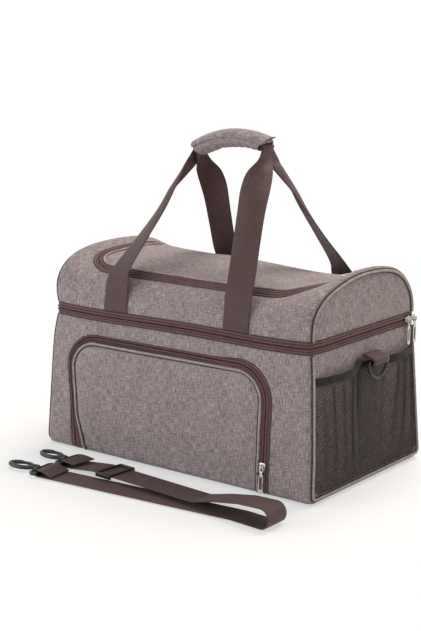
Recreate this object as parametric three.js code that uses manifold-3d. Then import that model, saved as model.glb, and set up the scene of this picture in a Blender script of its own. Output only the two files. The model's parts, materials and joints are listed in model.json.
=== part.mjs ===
// Insulated tote bag in two storeys: a soft tub with a foam and foil lining, and over it a domed
// compartment that hinges along the rear top edge and zips round the front and both ends.
// Millimetres, +Z up. The origin is the middle of the base. +X runs along the bag, -Y is the front.
import * as THREE from 'three';
import { mergeVertices } from 'three/addons/utils/BufferGeometryUtils.js';
import Module from 'manifold-3d';

const wasm = await Module();
wasm.setup();

// Bag body
const bagLength = 420; // outside, at the zip
const bagDepth = 250; // outside, at the zip
const baseFlare = 10; // how far each side of the base stands out past the lower shell's top edge
const shellHeight = 187; // top edge of the lower shell's fabric
const zipBand = 15; // both tapes of the perimeter zip together
const domeRiseLeft = 76; // dome above the zip band, at its stiff left end
const domeRiseRight = 69; // at its right end
const domeRiseMiddle = 60; // and where it sags in the middle
const sagPower = 5; // how late the sag starts, counted from the middle
const domePower = 2.6; // 2 is an ellipse, more is squarer
const edgeRadius = 6; // upright edges and the dome's end edges
const baseEdge = 18; // rounding of the base's long edges
const baseEdgeEnd = 5; // and of its end edges, across
const cornerSteps = 3;
const archSteps = 16;
const outlineSegments = 6; // of a round corner in a cut or an edge
const stationShares = [0, 0.24, 0.48, 0.7, 0.86]; // rings of the dome, as shares of half the length

// Layers of the walls
const gap = 0.3; // free room between pieces that touch
const fabric = 1.5;
const foam = 5;
const foil = 1;
const board = 3;
const dividerThickness = 3;

// Zips
const coilWidth = 2.4; // one half of the coil
const coilHeight = 1.2;
const zipGap = 0.6; // between the two halves of a closed zip
const tapeEndReturn = 28; // how far the perimeter zip runs on behind each rear corner
const hingeMargin = 4; // between the end of the zip and the hinge strip

// Front pocket, an inverted U on the front wall
const pocketRight = 158;
const pocketLeft = 183;
const pocketLeftFoot = 173;
const pocketDrop = 16; // from the lower shell's top edge down to the pocket zip
const pocketFoot = 18;
const pocketCorner = 52;
const pocketZip = 15; // both tapes
const pocketRoom = 9; // depth of the pocket
const pocketBackMargin = 10; // of the pocket's back, round the opening

// Top flap, in plan
const flapHalf = 184;
const flapFront = 100;
const flapBack = 58;
const flapCorner = 46;
const flapZip = 13;
const flapPadInset = 9; // the pad stops short of the flap's edge, to swing clear of the dome

// Handles
const handleSpan = 200; // between the two webbings of one handle
const webbingWidth = 40;
const webbing = 1.6;
const webbingLift = 0.5; // the sewn stretch over the dome
const handleRoom = 0.0045; // how far up its leg a handle starts, clear of its sewn stretch
const handleRootStep = 1; // the ring of the arch where the handle leaves the dome
const gripHeight = 433; // middle of the grip, over the floor
const gripLength = 108;
const gripCrown = 10; // how much the grip arches up
const gripTilt = 7.5; // the left end stands this much lower and the right end higher
const gripMouthTilt = 37; // degrees by which each end of the grip leans out at the top
const gripDepth = 34;
const gripThickness = 23;
const gripSteps = 8;
const gripWebbing = 26; // the webbing is folded narrower inside the grip
const webbingPitch = 2.4; // between the two webbings in the grip
const legSteps = 4; // rings of a leg between two of its rows, to follow the webbing's twist
const gripBend = 1.4; // the webbing's bend at the grip's mouth
const gripArrival = 1.5; // how far outside the mouth a leg arrives, in bends
const channelRoom = 1.5;
const gripFlapThickness = 1.5;
const gripFlapOverhang = 3; // the loose corner past the right end

// End pockets of mesh, with their elastic, tab and D-ring
const meshDrop = 39; // from the lower shell's top edge down to the mesh's
const meshFoot = 10;
const meshMargin = 8.6; // from the mesh's side to the corner of the bag
const meshCorner = 10; // its lower corners are cut back this much, inside the piping's
const meshSheet = 1;
const meshRoom = 11; // deepest room behind the mesh
const meshFullness = 0.8; // below 1 the mesh bellies out low down already
const elasticHeight = 9;
const elasticThickness = 2.4;
const tabWidth = 36;
const tabOffset = 8; // the tab sits a little behind the middle
const tabDrop = 15; // from the lower shell's top edge down to the tab
const tabHeight = 20;
const tabFlat = 1; // left flat above and below its round
const tabReach = 19;
const tabStrap = 2;
const ringInside = 40;
const ringWire = 4;
const ringDrop = 21;

// Piping round the two end panels
const pipingRadius = 1.7;
const pipingSides = 6;
const pipingInset = 6; // from the flat of the end

// Zip sliders and their pulls
const sliderLength = 11;
const sliderWidth = 9.5;
const sliderPlate = 2.8;
const bridgeLength = 7;
const bridgeHeight = 4.8;
const bridgeThickness = 2;
const bridgeBar = 1.2;
const pullLength = 34;
const pullWidth = 7;
const pullThickness = 1.4;
const pullEye = 3.4;
const pocketSliderHeight = 38;
const endSliderPlace = 104; // on the right end, from the middle towards the back
const flapSliderPlace = 28; // on the right side of the flap, behind the middle

// Shoulder strap, unclipped and folded once, on the floor in front of the bag
const strapWidth = 38;
const strapThickness = 1.5;
const strapFront = 212; // its middle line, in front of the bag's middle
const strapFold = 232; // where it folds, to the right
const strapKink = 170; // where the two layers start to fan out
const strapEnd = -128; // the bars of the two hooks, to the left
const strapFan = 25; // how far each end lies off the middle line
const strapLoopHeight = 26;
const strapLayer = 8; // height of the upper layer over the floor
const strapTail = 24; // sewn back behind each hook's bar
const strapEase = 0.5; // slack round a bar
const strapTurn = 0.95; // rounding where it turns round a bar
const strapSlump = 0.92; // the fold's highest point behind its round, as a share of its height
const strapSlope = 2.4; // how long the fold slopes down, in fold heights
const hookFrameLength = 13;
const hookFrameWidth = 46;
const hookFrameThickness = 5;
const hookBar = 3;
const hookLift = 5; // middle of the hooks over the floor
const collarRadius = 4.6;
const collarLength = 8;
const postRadius = 2.6;
const postRecess = 2; // how far the post goes on into the frame
const hookLength = 42;
const hookWidth = 24;
const hookStock = 6;
const mouthEdge = 3; // from the hook's middle line out to its mouth
const gateLength = 15;
const gateSetback = 9.6; // from the hook's root to its mouth
const gateInset = 0.5;
const gateWidth = 4;
const gateThickness = 3.6;
const rodSides = 12;
const glideRun = 215; // from the kink, along the upper layer
const glideLength = 27;
const glideWidth = 47;
const glideBar = 3;
const glideThickness = 2;

// Worked out from the above
const zipSplit = shellHeight + zipBand / 2;
const zipTop = shellHeight + zipBand;
const domeBase = zipTop + gap;
const archFoot = zipTop + 1;
const halfLength = bagLength / 2;
const halfDepth = bagDepth / 2;
const pocketTop = shellHeight - pocketDrop;
const meshTop = shellHeight - meshDrop;
const tabTop = shellHeight - tabDrop;
const tabFoot = tabTop - tabHeight;

const colours = {
  canvas: [0x928684, 0.9],
  webbing: [0x5b4443, 0.85],
  tape: [0x5a3a3c, 0.8],
  mesh: [0x3b3735, 0.9],
  elastic: [0x262423, 0.85],
  foam: [0xd9d6cf, 0.9],
  foil: [0xc3c6ca, 0.35],
  board: [0x303030, 0.7],
  nickel: [0xb9b4ad, 0.3, 0.9],
  plastic: [0x161617, 0.35],
};

const bag = new THREE.Group();

function material(name) {
  const [color, roughness, metalness = 0] = colours[name];
  return new THREE.MeshStandardMaterial({ color, roughness, metalness });
}

function place(name, geometry, look, parent = bag) {
  const mesh = new THREE.Mesh(geometry, material(look));
  mesh.name = name;
  parent.add(mesh);
  return mesh;
}

function groupAt(x, y, z, parent = bag) {
  const group = new THREE.Group();
  group.position.set(x, y, z);
  parent.add(group);
  return group;
}

const point = (x, y, z) => new THREE.Vector3(x, y, z);

// Booleans on closed meshes
function toSolid(geometry) {
  const bare = geometry.clone();
  bare.deleteAttribute('normal');
  bare.deleteAttribute('uv');
  const merged = mergeVertices(bare, 1e-4);
  const vertProperties = new Float32Array(merged.attributes.position.array);
  const triVerts = new Uint32Array(merged.index.array);
  return new wasm.Manifold(new wasm.Mesh({ numProp: 3, vertProperties, triVerts }));
}

function toGeometry(solid) {
  const mesh = solid.getMesh();
  const geometry = new THREE.BufferGeometry();
  const positions = new Float32Array(mesh.vertProperties);
  geometry.setAttribute('position', new THREE.BufferAttribute(positions, 3));
  geometry.setIndex(new THREE.BufferAttribute(new Uint32Array(mesh.triVerts), 1));
  return geometry;
}

function cut(geometry, ...tools) {
  return toGeometry(tools.reduce((solid, tool) => solid.subtract(toSolid(tool)), toSolid(geometry)));
}

function join(geometry, ...others) {
  return toGeometry(others.reduce((solid, other) => solid.add(toSolid(other)), toSolid(geometry)));
}

function common(geometry, other) {
  return toGeometry(toSolid(geometry).intersect(toSolid(other)));
}

// A closed skin through rings of points. Its faces are turned outwards by the sign of its volume.
function loft(rings, loop = false) {
  const sides = rings[0].length;
  const positions = rings.flat().flatMap((p) => [p.x, p.y, p.z]);
  const faces = [];
  const rows = loop ? rings.length : rings.length - 1;
  for (let i = 0; i < rows; i += 1) {
    const low = i * sides;
    const high = ((i + 1) % rings.length) * sides;
    for (let j = 0; j < sides; j += 1) {
      const next = (j + 1) % sides;
      faces.push(low + j, low + next, high + next, low + j, high + next, high + j);
    }
  }
  if (!loop) {
    closeEnd(rings[0], 0, positions, faces, false);
    closeEnd(rings[rings.length - 1], (rings.length - 1) * sides, positions, faces, true);
  }
  return faceOutwards(positions, faces);
}

function closeEnd(ring, first, positions, faces, last) {
  const middle = ring.reduce((sum, p) => sum.add(p), point(0, 0, 0)).divideScalar(ring.length);
  const index = positions.length / 3;
  positions.push(middle.x, middle.y, middle.z);
  for (let j = 0; j < ring.length; j += 1) {
    const next = (j + 1) % ring.length;
    if (last) faces.push(first + j, first + next, index);
    else faces.push(first + next, first + j, index);
  }
}

function faceOutwards(positions, faces) {
  const corner = (k) => point(positions[3 * k], positions[3 * k + 1], positions[3 * k + 2]);
  let volume = 0;
  for (let i = 0; i < faces.length; i += 3) {
    const [a, b, c] = [corner(faces[i]), corner(faces[i + 1]), corner(faces[i + 2])];
    volume += a.dot(b.cross(c));
  }
  const index = volume > 0 ? faces : faces.map((_, i) => faces[i - (i % 3) + [0, 2, 1][i % 3]]);
  const geometry = new THREE.BufferGeometry();
  geometry.setAttribute('position', new THREE.Float32BufferAttribute(positions, 3));
  geometry.setIndex(index);
  return geometry;
}

function box(x0, x1, y0, y1, z0, z1) {
  const geometry = new THREE.BoxGeometry(x1 - x0, y1 - y0, z1 - z0);
  return geometry.translate((x0 + x1) / 2, (y0 + y1) / 2, (z0 + z1) / 2);
}

// Lower walls. An inset is how far a surface lies inside the outer fabric.
const flareAt = (z) => baseFlare * (1 - z / shellHeight);

function roundedRing(x, front, back, radius, z) {
  const corners = [[x - radius, back - radius, 0], [radius - x, back - radius, 1]];
  corners.push([radius - x, radius - front, 2], [x - radius, radius - front, 3]);
  const ring = [];
  for (const [cx, cy, quarter] of corners) {
    for (let i = 0; i <= cornerSteps; i += 1) {
      const angle = (quarter + i / cornerSteps) * Math.PI / 2;
      ring.push(point(cx + radius * Math.cos(angle), cy + radius * Math.sin(angle), z));
    }
  }
  return ring;
}

function planRing(inset, z, shrinkX = 0, shrinkY = 0) {
  const x = halfLength + flareAt(z) - inset.side - shrinkX;
  const front = halfDepth + flareAt(z) - inset.front - shrinkY;
  const back = halfDepth + flareAt(z) - inset.side - shrinkY;
  return roundedRing(x, front, back, Math.max(edgeRadius - inset.side, 1), z);
}

function wallRings(inset, floor, top) {
  const radius = Math.max(baseEdge - inset.side, 2);
  const across = Math.max(baseEdgeEnd - inset.side, 1);
  const rings = [];
  for (let i = 0; i <= cornerSteps; i += 1) {
    const angle = i / cornerSteps * Math.PI / 2;
    const drawnIn = 1 - Math.sin(angle);
    rings.push(planRing(inset, floor + radius * (1 - Math.cos(angle)), across * drawnIn, radius * drawnIn));
  }
  rings.push(planRing(inset, top));
  return rings;
}

function tub(outer, outerFloor, inner, innerFloor, top) {
  return loft([...wallRings(outer, outerFloor, top), ...wallRings(inner, innerFloor, top).reverse()]);
}

const even = (inset) => ({ side: inset, front: inset });
const deeper = (inset, depth) => ({ side: inset.side + depth, front: inset.front + depth });
const skin = even(0);
const skinInside = even(fabric);
const foamOutside = {
  side: fabric + gap,
  front: fabric + pocketRoom + foil + 2 * gap,
};
const foamInside = deeper(foamOutside, foam);
const foilOutside = deeper(foamInside, gap);
const foilInside = deeper(foilOutside, foil);
const boardFloor = fabric + gap;
const foamFloor = boardFloor + board + gap;
const foilFloor = foamFloor + foam + gap;
const lowerTop = zipSplit - zipGap / 2;
const frontAt = (z) => -(halfDepth + flareAt(z));
const endAt = (z) => halfLength + flareAt(z);
const wallLean = Math.atan(baseFlare / shellHeight);

// Front pocket's outline in X and Z, drawn in by an inset
function pocketOutline(inset, foot) {
  const radius = pocketCorner - inset;
  const right = pocketRight - inset;
  const top = pocketTop - inset;
  const slope = (pocketLeft - pocketLeftFoot) / (pocketTop - pocketCorner - pocketFoot);
  const left = (z) => inset - pocketLeft + slope * Math.max(pocketTop - pocketCorner - z, 0);
  const shape = new THREE.Shape();
  shape.moveTo(right, foot);
  shape.lineTo(right, top - radius);
  shape.absarc(right - radius, top - radius, radius, 0, Math.PI / 2, false);
  shape.absarc(left(top) + radius, top - radius, radius, Math.PI / 2, Math.PI, false);
  shape.lineTo(left(foot), foot);
  shape.closePath();
  return shape;
}

function throughFront(shape) {
  const reach = bagDepth / 2;
  const settings = { depth: reach, bevelEnabled: false, curveSegments: outlineSegments };
  const geometry = new THREE.ExtrudeGeometry(shape, settings);
  return geometry.rotateX(Math.PI / 2).translate(0, frontAt(0) / 2, 0);
}

const belowFoot = pocketFoot - 2 * pocketZip;
const pocketBlank = (inset, foot = pocketFoot) => throughFront(pocketOutline(inset, foot));
const pocketBand = (near, far) => cut(pocketBlank(near), pocketBlank(far, belowFoot));
const lowerSlab = (rise, depth) => tub(even(-rise), -rise, even(depth), depth, shellHeight);

function zipTape(slab, raised, band, coilBand) {
  return join(common(slab, band), common(raised, coilBand));
}

function buildLowerBody() {
  const shell = tub(skin, 0, skinInside, fabric, shellHeight);
  place('lower_shell', cut(shell, pocketBlank(0)), 'canvas');
  const half = pocketZip / 2;
  const meet = half - zipGap / 2;
  const outerTape = pocketBand(gap, meet);
  const raised = lowerSlab(coilHeight, fabric);
  place('pocket_tape_outer', zipTape(shell, raised, outerTape, pocketBand(meet - coilWidth, meet)), 'tape');
  const reach = half + zipGap / 2;
  const innerTape = pocketBand(reach, pocketZip - gap);
  const innerCoil = pocketBand(reach, reach + coilWidth);
  place('pocket_tape_inner', zipTape(shell, raised, innerTape, innerCoil), 'tape');
  const panel = pocketBlank(pocketZip, pocketFoot + gap);
  place('pocket_panel', common(shell, panel), 'canvas');
  const depth = fabric + pocketRoom;
  const backing = tub(even(depth), depth, even(depth + foil), depth + foil, shellHeight);
  const frontOnly = box(
    -pocketLeft - pocketBackMargin, pocketRight + pocketBackMargin,
    2 * frontAt(0), frontAt(0) / 2,
    pocketFoot - pocketBackMargin / 2, pocketTop + pocketBackMargin,
  );
  place('pocket_back', common(backing, frontOnly), 'canvas');
  const boardRing = (z) => planRing(foamOutside, z, baseEdgeEnd, baseEdge);
  place('base_board', loft([boardRing(boardFloor), boardRing(boardFloor + board)]), 'board');
  place('lower_foam', tub(foamOutside, foamFloor, foamInside, foamFloor + foam, lowerTop), 'foam');
  place('lower_liner', tub(foilOutside, foilFloor, foilInside, foilFloor + foil, lowerTop), 'foil');
}

// Perimeter zip: a band round the front and both ends that turns each rear corner
function bandShape(outer, inner) {
  const shape = new THREE.Shape();
  const trace = (inset, forwards) => {
    const x = halfLength - inset;
    const y = halfDepth - inset;
    const r = Math.max(edgeRadius - inset, 1);
    const end = halfLength - tapeEndReturn;
    const turns = [
      [x - r, y - r, Math.PI / 2, 0],
      [x - r, r - y, 0, -Math.PI / 2],
      [r - x, r - y, -Math.PI / 2, -Math.PI],
      [r - x, y - r, Math.PI, Math.PI / 2],
    ];
    if (forwards) {
      shape.moveTo(end, y);
      turns.forEach(([cx, cy, from, to]) => shape.absarc(cx, cy, r, from, to, true));
      shape.lineTo(-end, y);
    } else {
      shape.lineTo(-end, y);
      turns.reverse().forEach(([cx, cy, from, to]) => shape.absarc(cx, cy, r, to, from, false));
      shape.lineTo(end, y);
    }
  };
  trace(outer, true);
  trace(inner, false);
  shape.closePath();
  return shape;
}

function band(outer, inner, low, high) {
  const settings = { depth: high - low, bevelEnabled: false, curveSegments: cornerSteps };
  return new THREE.ExtrudeGeometry(bandShape(outer, inner), settings).translate(0, 0, low);
}

function buildPerimeterZip() {
  const low = zipSplit - zipGap / 2;
  const high = zipSplit + zipGap / 2;
  const lower = band(0, fabric, shellHeight + gap, low);
  place('perimeter_tape_lower', join(lower, band(-coilHeight, fabric, low - coilWidth, low)), 'tape');
  const upper = band(0, fabric, high, zipTop);
  place('perimeter_tape_upper', join(upper, band(-coilHeight, fabric, high, high + coilWidth)), 'tape');
  const reach = halfLength - tapeEndReturn - hingeMargin;
  const strip = (z0, z1) => box(-reach, reach, halfDepth - fabric, halfDepth, z0, z1);
  place('hinge_strip_lower', strip(shellHeight + gap, low), 'canvas');
  place('hinge_strip_upper', strip(high, zipTop), 'canvas');
}

// Dome
const stations = [...stationShares.slice(1).map((share) => -share).reverse(), ...stationShares];
const sagStations = [...stationShares, 1].map((share) => share * halfLength);

function riseAt(x) {
  const end = x < 0 ? domeRiseLeft : domeRiseRight;
  const sagCurve = (place) => domeRiseMiddle + (end - domeRiseMiddle) * (place / halfLength) ** sagPower;
  const reach = Math.min(Math.abs(x), halfLength);
  const far = Math.max(sagStations.findIndex((station) => station >= reach), 1);
  const [low, high] = [sagStations[far - 1], sagStations[far]];
  const share = (reach - low) / (high - low);
  return sagCurve(low) * (1 - share) + sagCurve(high) * share;
}

function archPoint(x, step, inset) {
  const angle = Math.PI * step / archSteps;
  const along = Math.cos(angle);
  const up = Math.sin(angle);
  const y = -Math.sign(along) * (halfDepth - inset) * Math.abs(along) ** (2 / domePower);
  return point(x, y, archFoot + (riseAt(x) - inset) * Math.abs(up) ** (2 / domePower));
}

function archHeight(x, y) {
  const share = Math.min(Math.abs(y) / halfDepth, 1);
  return archFoot + riseAt(x) * (1 - share ** domePower) ** (1 / domePower);
}

function archRing(x, inset, base) {
  const ring = [point(x, inset - halfDepth, base)];
  for (let step = 0; step <= archSteps; step += 1) ring.push(archPoint(x, step, inset));
  ring.push(point(x, halfDepth - inset, base));
  return ring;
}

function domeSolid(inset, base) {
  const radius = Math.max(edgeRadius - inset, 1);
  const end = halfLength - inset;
  const edge = [];
  for (let i = 0; i <= cornerSteps; i += 1) {
    const angle = i / cornerSteps * Math.PI / 2;
    edge.push([end - radius * (1 - Math.cos(angle)), radius * (1 - Math.sin(angle))]);
  }
  const left = edge.map(([x, shrink]) => archRing(-x, inset + shrink, base));
  const middle = stations.map((share) => archRing(share * halfLength, inset, base));
  const right = edge.map(([x, shrink]) => archRing(x, inset + shrink, base)).reverse();
  return loft([...left, ...middle, ...right]);
}

function domeSlab(outer, inner, base) {
  return cut(domeSolid(outer, base), domeSolid(inner, base - foam));
}

// Top flap's outline in plan, drawn in by an inset
function flapOutline(inset, back) {
  const x = flapHalf - inset;
  const front = inset - flapFront;
  const radius = flapCorner - inset;
  const shape = new THREE.Shape();
  shape.moveTo(x, back);
  shape.lineTo(-x, back);
  shape.absarc(radius - x, front + radius, radius, Math.PI, 1.5 * Math.PI, false);
  shape.absarc(x - radius, front + radius, radius, 1.5 * Math.PI, 2 * Math.PI, false);
  shape.closePath();
  return shape;
}

function flapBlank(inset, back = flapBack) {
  const height = Math.max(domeRiseLeft, domeRiseRight) + 2 * foam;
  const settings = { depth: height, bevelEnabled: false, curveSegments: outlineSegments };
  return new THREE.ExtrudeGeometry(flapOutline(inset, back), settings).translate(0, 0, archFoot);
}

const flapBand = (near, far, back) => cut(flapBlank(near, back), flapBlank(far, flapBack + flapZip));

function buildDome() {
  const shell = domeSlab(0, fabric, domeBase);
  const raised = domeSlab(-coilHeight, fabric, domeBase);
  place('dome_shell', cut(shell, flapBlank(0)), 'canvas');
  const foamInset = fabric + gap;
  const foilInset = foamInset + foam + gap;
  const lidBase = zipSplit + zipGap / 2;
  place('dome_foam', cut(domeSlab(foamInset, foamInset + foam, lidBase), flapBlank(0)), 'foam');
  place('dome_liner', cut(domeSlab(foilInset, foilInset + foil, lidBase), flapBlank(0)), 'foil');
  const meet = flapZip / 2 - zipGap / 2;
  const reach = flapZip / 2 + zipGap / 2;
  const rest = flapBack - gap;
  const outerTape = flapBand(gap, meet, rest);
  const outerCoil = flapBand(meet - coilWidth, meet, rest);
  place('flap_tape_outer', zipTape(shell, raised, outerTape, outerCoil), 'tape');
  const innerTape = flapBand(reach, flapZip - gap, rest);
  const innerCoil = flapBand(reach, reach + coilWidth, rest);
  place('flap_tape_inner', zipTape(shell, raised, innerTape, innerCoil), 'tape');
  place('top_flap', common(shell, flapBlank(flapZip, rest)), 'canvas');
  const pad = domeSlab(foamInset, foamInset + foam + foil, domeBase);
  place('top_flap_pad', common(pad, flapBlank(flapZip + flapPadInset, rest - flapPadInset)), 'foil');
  const dividerInset = foilInset + foil + gap;
  const dividerRing = (z) => roundedRing(
    halfLength - dividerInset, halfDepth - dividerInset, halfDepth - dividerInset, 1, z,
  );
  const dividerBase = lidBase + gap;
  const dividerRings = [dividerRing(dividerBase), dividerRing(dividerBase + dividerThickness)];
  place('divider_panel', loft(dividerRings), 'foil');
}

// Handles
function buildHandleBases() {
  for (const [row, front] of [['front', true], ['back', false]]) {
    for (const [side, x] of [['left', -handleSpan / 2], ['right', handleSpan / 2]]) {
      const rings = [];
      for (let i = 0; i <= handleRootStep; i += 1) {
        const step = front ? i : archSteps - i;
        const low = -webbingLift;
        const high = low - webbing;
        const [x0, x1] = [x - webbingWidth / 2, x + webbingWidth / 2];
        const ends = [archPoint(x0, step, low), archPoint(x1, step, low)];
        rings.push([...ends, archPoint(x1, step, high), archPoint(x0, step, high)]);
      }
      place(`handle_base_${row}_${side}`, loft(rings), 'webbing');
    }
  }
}

const gripHeightAt = (x) => {
  const share = x / (gripLength / 2);
  return gripHeight + gripTilt * share - gripCrown * share * share;
};

// One handle is a single webbing: up one leg, through the grip and down the other leg
function handleRing(centre, along, turn, width) {
  const wide = point(Math.cos(turn), Math.sin(turn), 0);
  const thick = new THREE.Vector3().crossVectors(along, wide).normalize().multiplyScalar(webbing / 2);
  wide.multiplyScalar(width / 2);
  const corner = (a, b) => centre.clone().addScaledVector(wide, a).addScaledVector(thick, b);
  return [corner(1, 1), corner(1, -1), corner(-1, -1), corner(-1, 1)];
}

function handleWebbing(front) {
  const facing = front ? -1 : 1;
  const step = front ? handleRootStep : archSteps - handleRootStep;
  const foot = archPoint(handleSpan / 2, step, -webbingLift - webbing / 2);
  const entry = gripLength / 2;
  const lift = front ? webbingPitch / 2 : -webbingPitch / 2;
  const bend = gripBend + (front ? webbingPitch : 0);
  // Each row: share of the height, share of the way across, share of the way in, the turn of a leg that
  // twists early, that of one that twists late, and the width
  const rows = [
    [handleRoom, 0, 0, 0, 0, webbingWidth],
    [0.13, 0, 0.03, 6, 3, webbingWidth],
    [0.22, 0.05, 0.1, 20, 5, webbingWidth],
    [0.4, 0.33, 0.3, 33, 5, webbingWidth],
    [0.6, 0.64, 0.52, 42, 5, webbingWidth],
    [0.8, 0.9, 0.75, 60, 14, webbingWidth - 3],
    [0.91, 1, 0.9, 90, 90, gripWebbing + 2],
  ];
  const finer = rows.slice(1).flatMap((row, i) => Array.from({ length: legSteps }, (_, k) => (
    row.map((value, j) => rows[i][j] + (value - rows[i][j]) * (k + 1) / legSteps)
  )));
  const half = (side) => {
    const top = gripHeightAt(side * entry) - webbingPitch / 2 - gripBend;
    const early = side === facing;
    const leg = [rows[0], ...finer].map(([share, across, inward, turnEarly, turnLate, width]) => {
      const x = side * (foot.x + (entry + gripArrival * bend - foot.x) * across);
      const at = point(x, foot.y * (1 - inward), foot.z + (top - foot.z) * share);
      return { at, turn: early ? turnEarly : turnLate, width };
    });
    const mouth = [0, 1].map((i) => {
      const angle = i * Math.PI / 4;
      const at = point(side * (entry + bend * Math.cos(angle)), 0, top + bend * Math.sin(angle));
      return { at, turn: 90, width: gripWebbing };
    });
    return [...leg, ...mouth];
  };
  const inside = [];
  for (let i = 0; i <= gripSteps; i += 1) {
    const x = entry * (1 - 2 * i / gripSteps);
    inside.push({ at: point(x, 0, gripHeightAt(x) + lift), turn: 90, width: gripWebbing });
  }
  const down = half(-1).reverse().map((s) => ({ ...s, turn: 180 - s.turn }));
  const path = [...half(1), ...inside, ...down];
  const rings = path.map(({ at, turn, width }, i) => {
    const before = path[Math.max(i - 1, 0)].at;
    const after = path[Math.min(i + 1, path.length - 1)].at;
    const along = after.clone().sub(before).normalize();
    return handleRing(at, along, -facing * turn * Math.PI / 180, width);
  });
  return loft(rings);
}

const ovalSides = 12;
const ovalAngle = (i) => 2 * Math.PI * (i + 0.5) / ovalSides;

// A place in the grip's ring at x: across it, and up along the ring, which leans out towards the mouths
function gripPlace(x, across, up) {
  const end = gripLength / 2;
  const lean = gripMouthTilt * Math.max(-1, Math.min(1, x / end)) * Math.PI / 180;
  return point(x + up * Math.sin(lean), across, gripHeightAt(Math.min(x, end)) + up * Math.cos(lean));
}

function gripPoint(x, angle, lift = 0) {
  const up = (gripThickness / 2 + lift) * Math.sin(angle);
  return gripPlace(x, (gripDepth / 2 + lift) * Math.cos(angle), up);
}

function buildGrip() {
  const places = [];
  for (let i = 0; i <= gripSteps; i += 1) places.push(gripLength * (i / gripSteps - 0.5));
  const round = Array.from({ length: ovalSides }, (_, i) => ovalAngle(i));
  const outer = places.map((x) => round.map((angle) => gripPoint(x, angle)));
  const width = gripWebbing + 2 * channelRoom;
  const height = webbingPitch + webbing + 2 * channelRoom;
  const channel = places.map((x, i) => {
    const past = i === 0 || i === gripSteps ? x * 1.1 : x;
    return [[1, 1], [-1, 1], [-1, -1], [1, -1]].map(
      ([a, b]) => gripPlace(past, a * width / 2, b * height / 2),
    );
  });
  place('grip_wrap', cut(loft(outer), loft(channel)), 'canvas');
  const over = round.slice(0, ovalSides / 2);
  const flap = [...places, gripLength / 2 + gripFlapOverhang].map((x) => [
    ...over.map((angle) => gripPoint(x, angle, gap + gripFlapThickness)),
    ...over.map((angle) => gripPoint(x, angle, gap)).reverse(),
  ]);
  place('grip_flap', stripLoft(flap), 'canvas');
}

// A loft whose rings are strips: out along one side and back along the other
function stripLoft(rings) {
  const sides = rings[0].length;
  const positions = rings.flat().flatMap((p) => [p.x, p.y, p.z]);
  const faces = [];
  for (let i = 0; i < rings.length - 1; i += 1) {
    const low = i * sides;
    const high = low + sides;
    for (let j = 0; j < sides; j += 1) {
      const next = (j + 1) % sides;
      faces.push(low + j, low + next, high + next, low + j, high + next, high + j);
    }
  }
  const last = (rings.length - 1) * sides;
  for (let j = 0; j < sides / 2 - 1; j += 1) {
    const back = sides - 1 - j;
    faces.push(j + 1, j, back, j + 1, back, back - 1);
    faces.push(last + j, last + j + 1, last + back, last + j + 1, last + back - 1, last + back);
  }
  return faceOutwards(positions, faces);
}

// End pockets: the mesh is caught under the tab, so it bellies out in front of it and behind it
const meshDepths = [0, meshCorner / (meshTop - meshFoot), 0.28, 0.52, 0.76, 1];
const lobeSteps = 6;

function meshStations(z) {
  const side = halfDepth + flareAt(z) - meshMargin - Math.max(meshCorner - (z - meshFoot), 0);
  const near = tabOffset - tabWidth / 2;
  const far = tabOffset + tabWidth / 2;
  const found = [];
  for (const [from, to] of [[-side, near], [far, side]]) {
    for (let i = 0; i <= lobeSteps; i += 1) {
      const share = i / lobeSteps;
      found.push({ y: from + (to - from) * share, belly: Math.sin(Math.PI * share) });
    }
  }
  return found;
}

function meshFace(side, column, z, share, stand) {
  const { y, belly } = meshStations(z)[column];
  return point(side * (endAt(z) + gap + stand + meshRoom * belly * share ** meshFullness), y, z);
}

function buildEndPockets() {
  for (const [name, side] of [['left', -1], ['right', 1]]) {
    const columns = meshStations(meshTop).map((_, column) => column);
    const height = (share) => meshFoot + (meshTop - meshFoot) * share;
    const wall = (column, stand) => meshDepths.map(
      (share) => meshFace(side, column, height(share), share, stand),
    );
    const mesh = columns.map((column) => [...wall(column, meshSheet), ...wall(column, 0).reverse()]);
    place(`mesh_pocket_${name}`, stripLoft(mesh), 'mesh');
    const low = meshTop + gap;
    const high = low + elasticHeight;
    const strip = columns.map((column) => [
      meshFace(side, column, low, 1, 0), meshFace(side, column, high, 1, 0),
      meshFace(side, column, high, 1, elasticThickness), meshFace(side, column, low, 1, elasticThickness),
    ]);
    place(`elastic_${name}`, loft(strip), 'elastic');
    buildTab(name, side);
  }
}

const tabBack = endAt(tabFoot) + elasticThickness + 2 * gap;
const tabRound = tabHeight / 2 - tabFlat;
const ringRoom = tabRound - tabStrap;
const ringShift = ringRoom - (ringRoom - ringWire / Math.SQRT2 - gap) / Math.SQRT2;
const ringX = tabBack + tabReach - tabStrap - ringShift;
const ringZ = tabFoot + tabStrap + ringShift;

function roundedShape(x0, x1, z0, z1, radius, Kind = THREE.Shape) {
  const shape = new Kind();
  shape.moveTo(x0, z0);
  shape.lineTo(x1 - radius, z0);
  shape.absarc(x1 - radius, z0 + radius, radius, -Math.PI / 2, 0, false);
  shape.absarc(x1 - radius, z1 - radius, radius, 0, Math.PI / 2, false);
  shape.lineTo(x0, z1);
  shape.closePath();
  return shape;
}

// A flat piece drawn in X and Z, of a given width along Y, round the middle
function alongY(shape, width, segments = 4) {
  const settings = { depth: width, bevelEnabled: false, curveSegments: segments };
  return new THREE.ExtrudeGeometry(shape, settings).rotateX(Math.PI / 2).translate(0, width / 2, 0);
}

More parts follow.
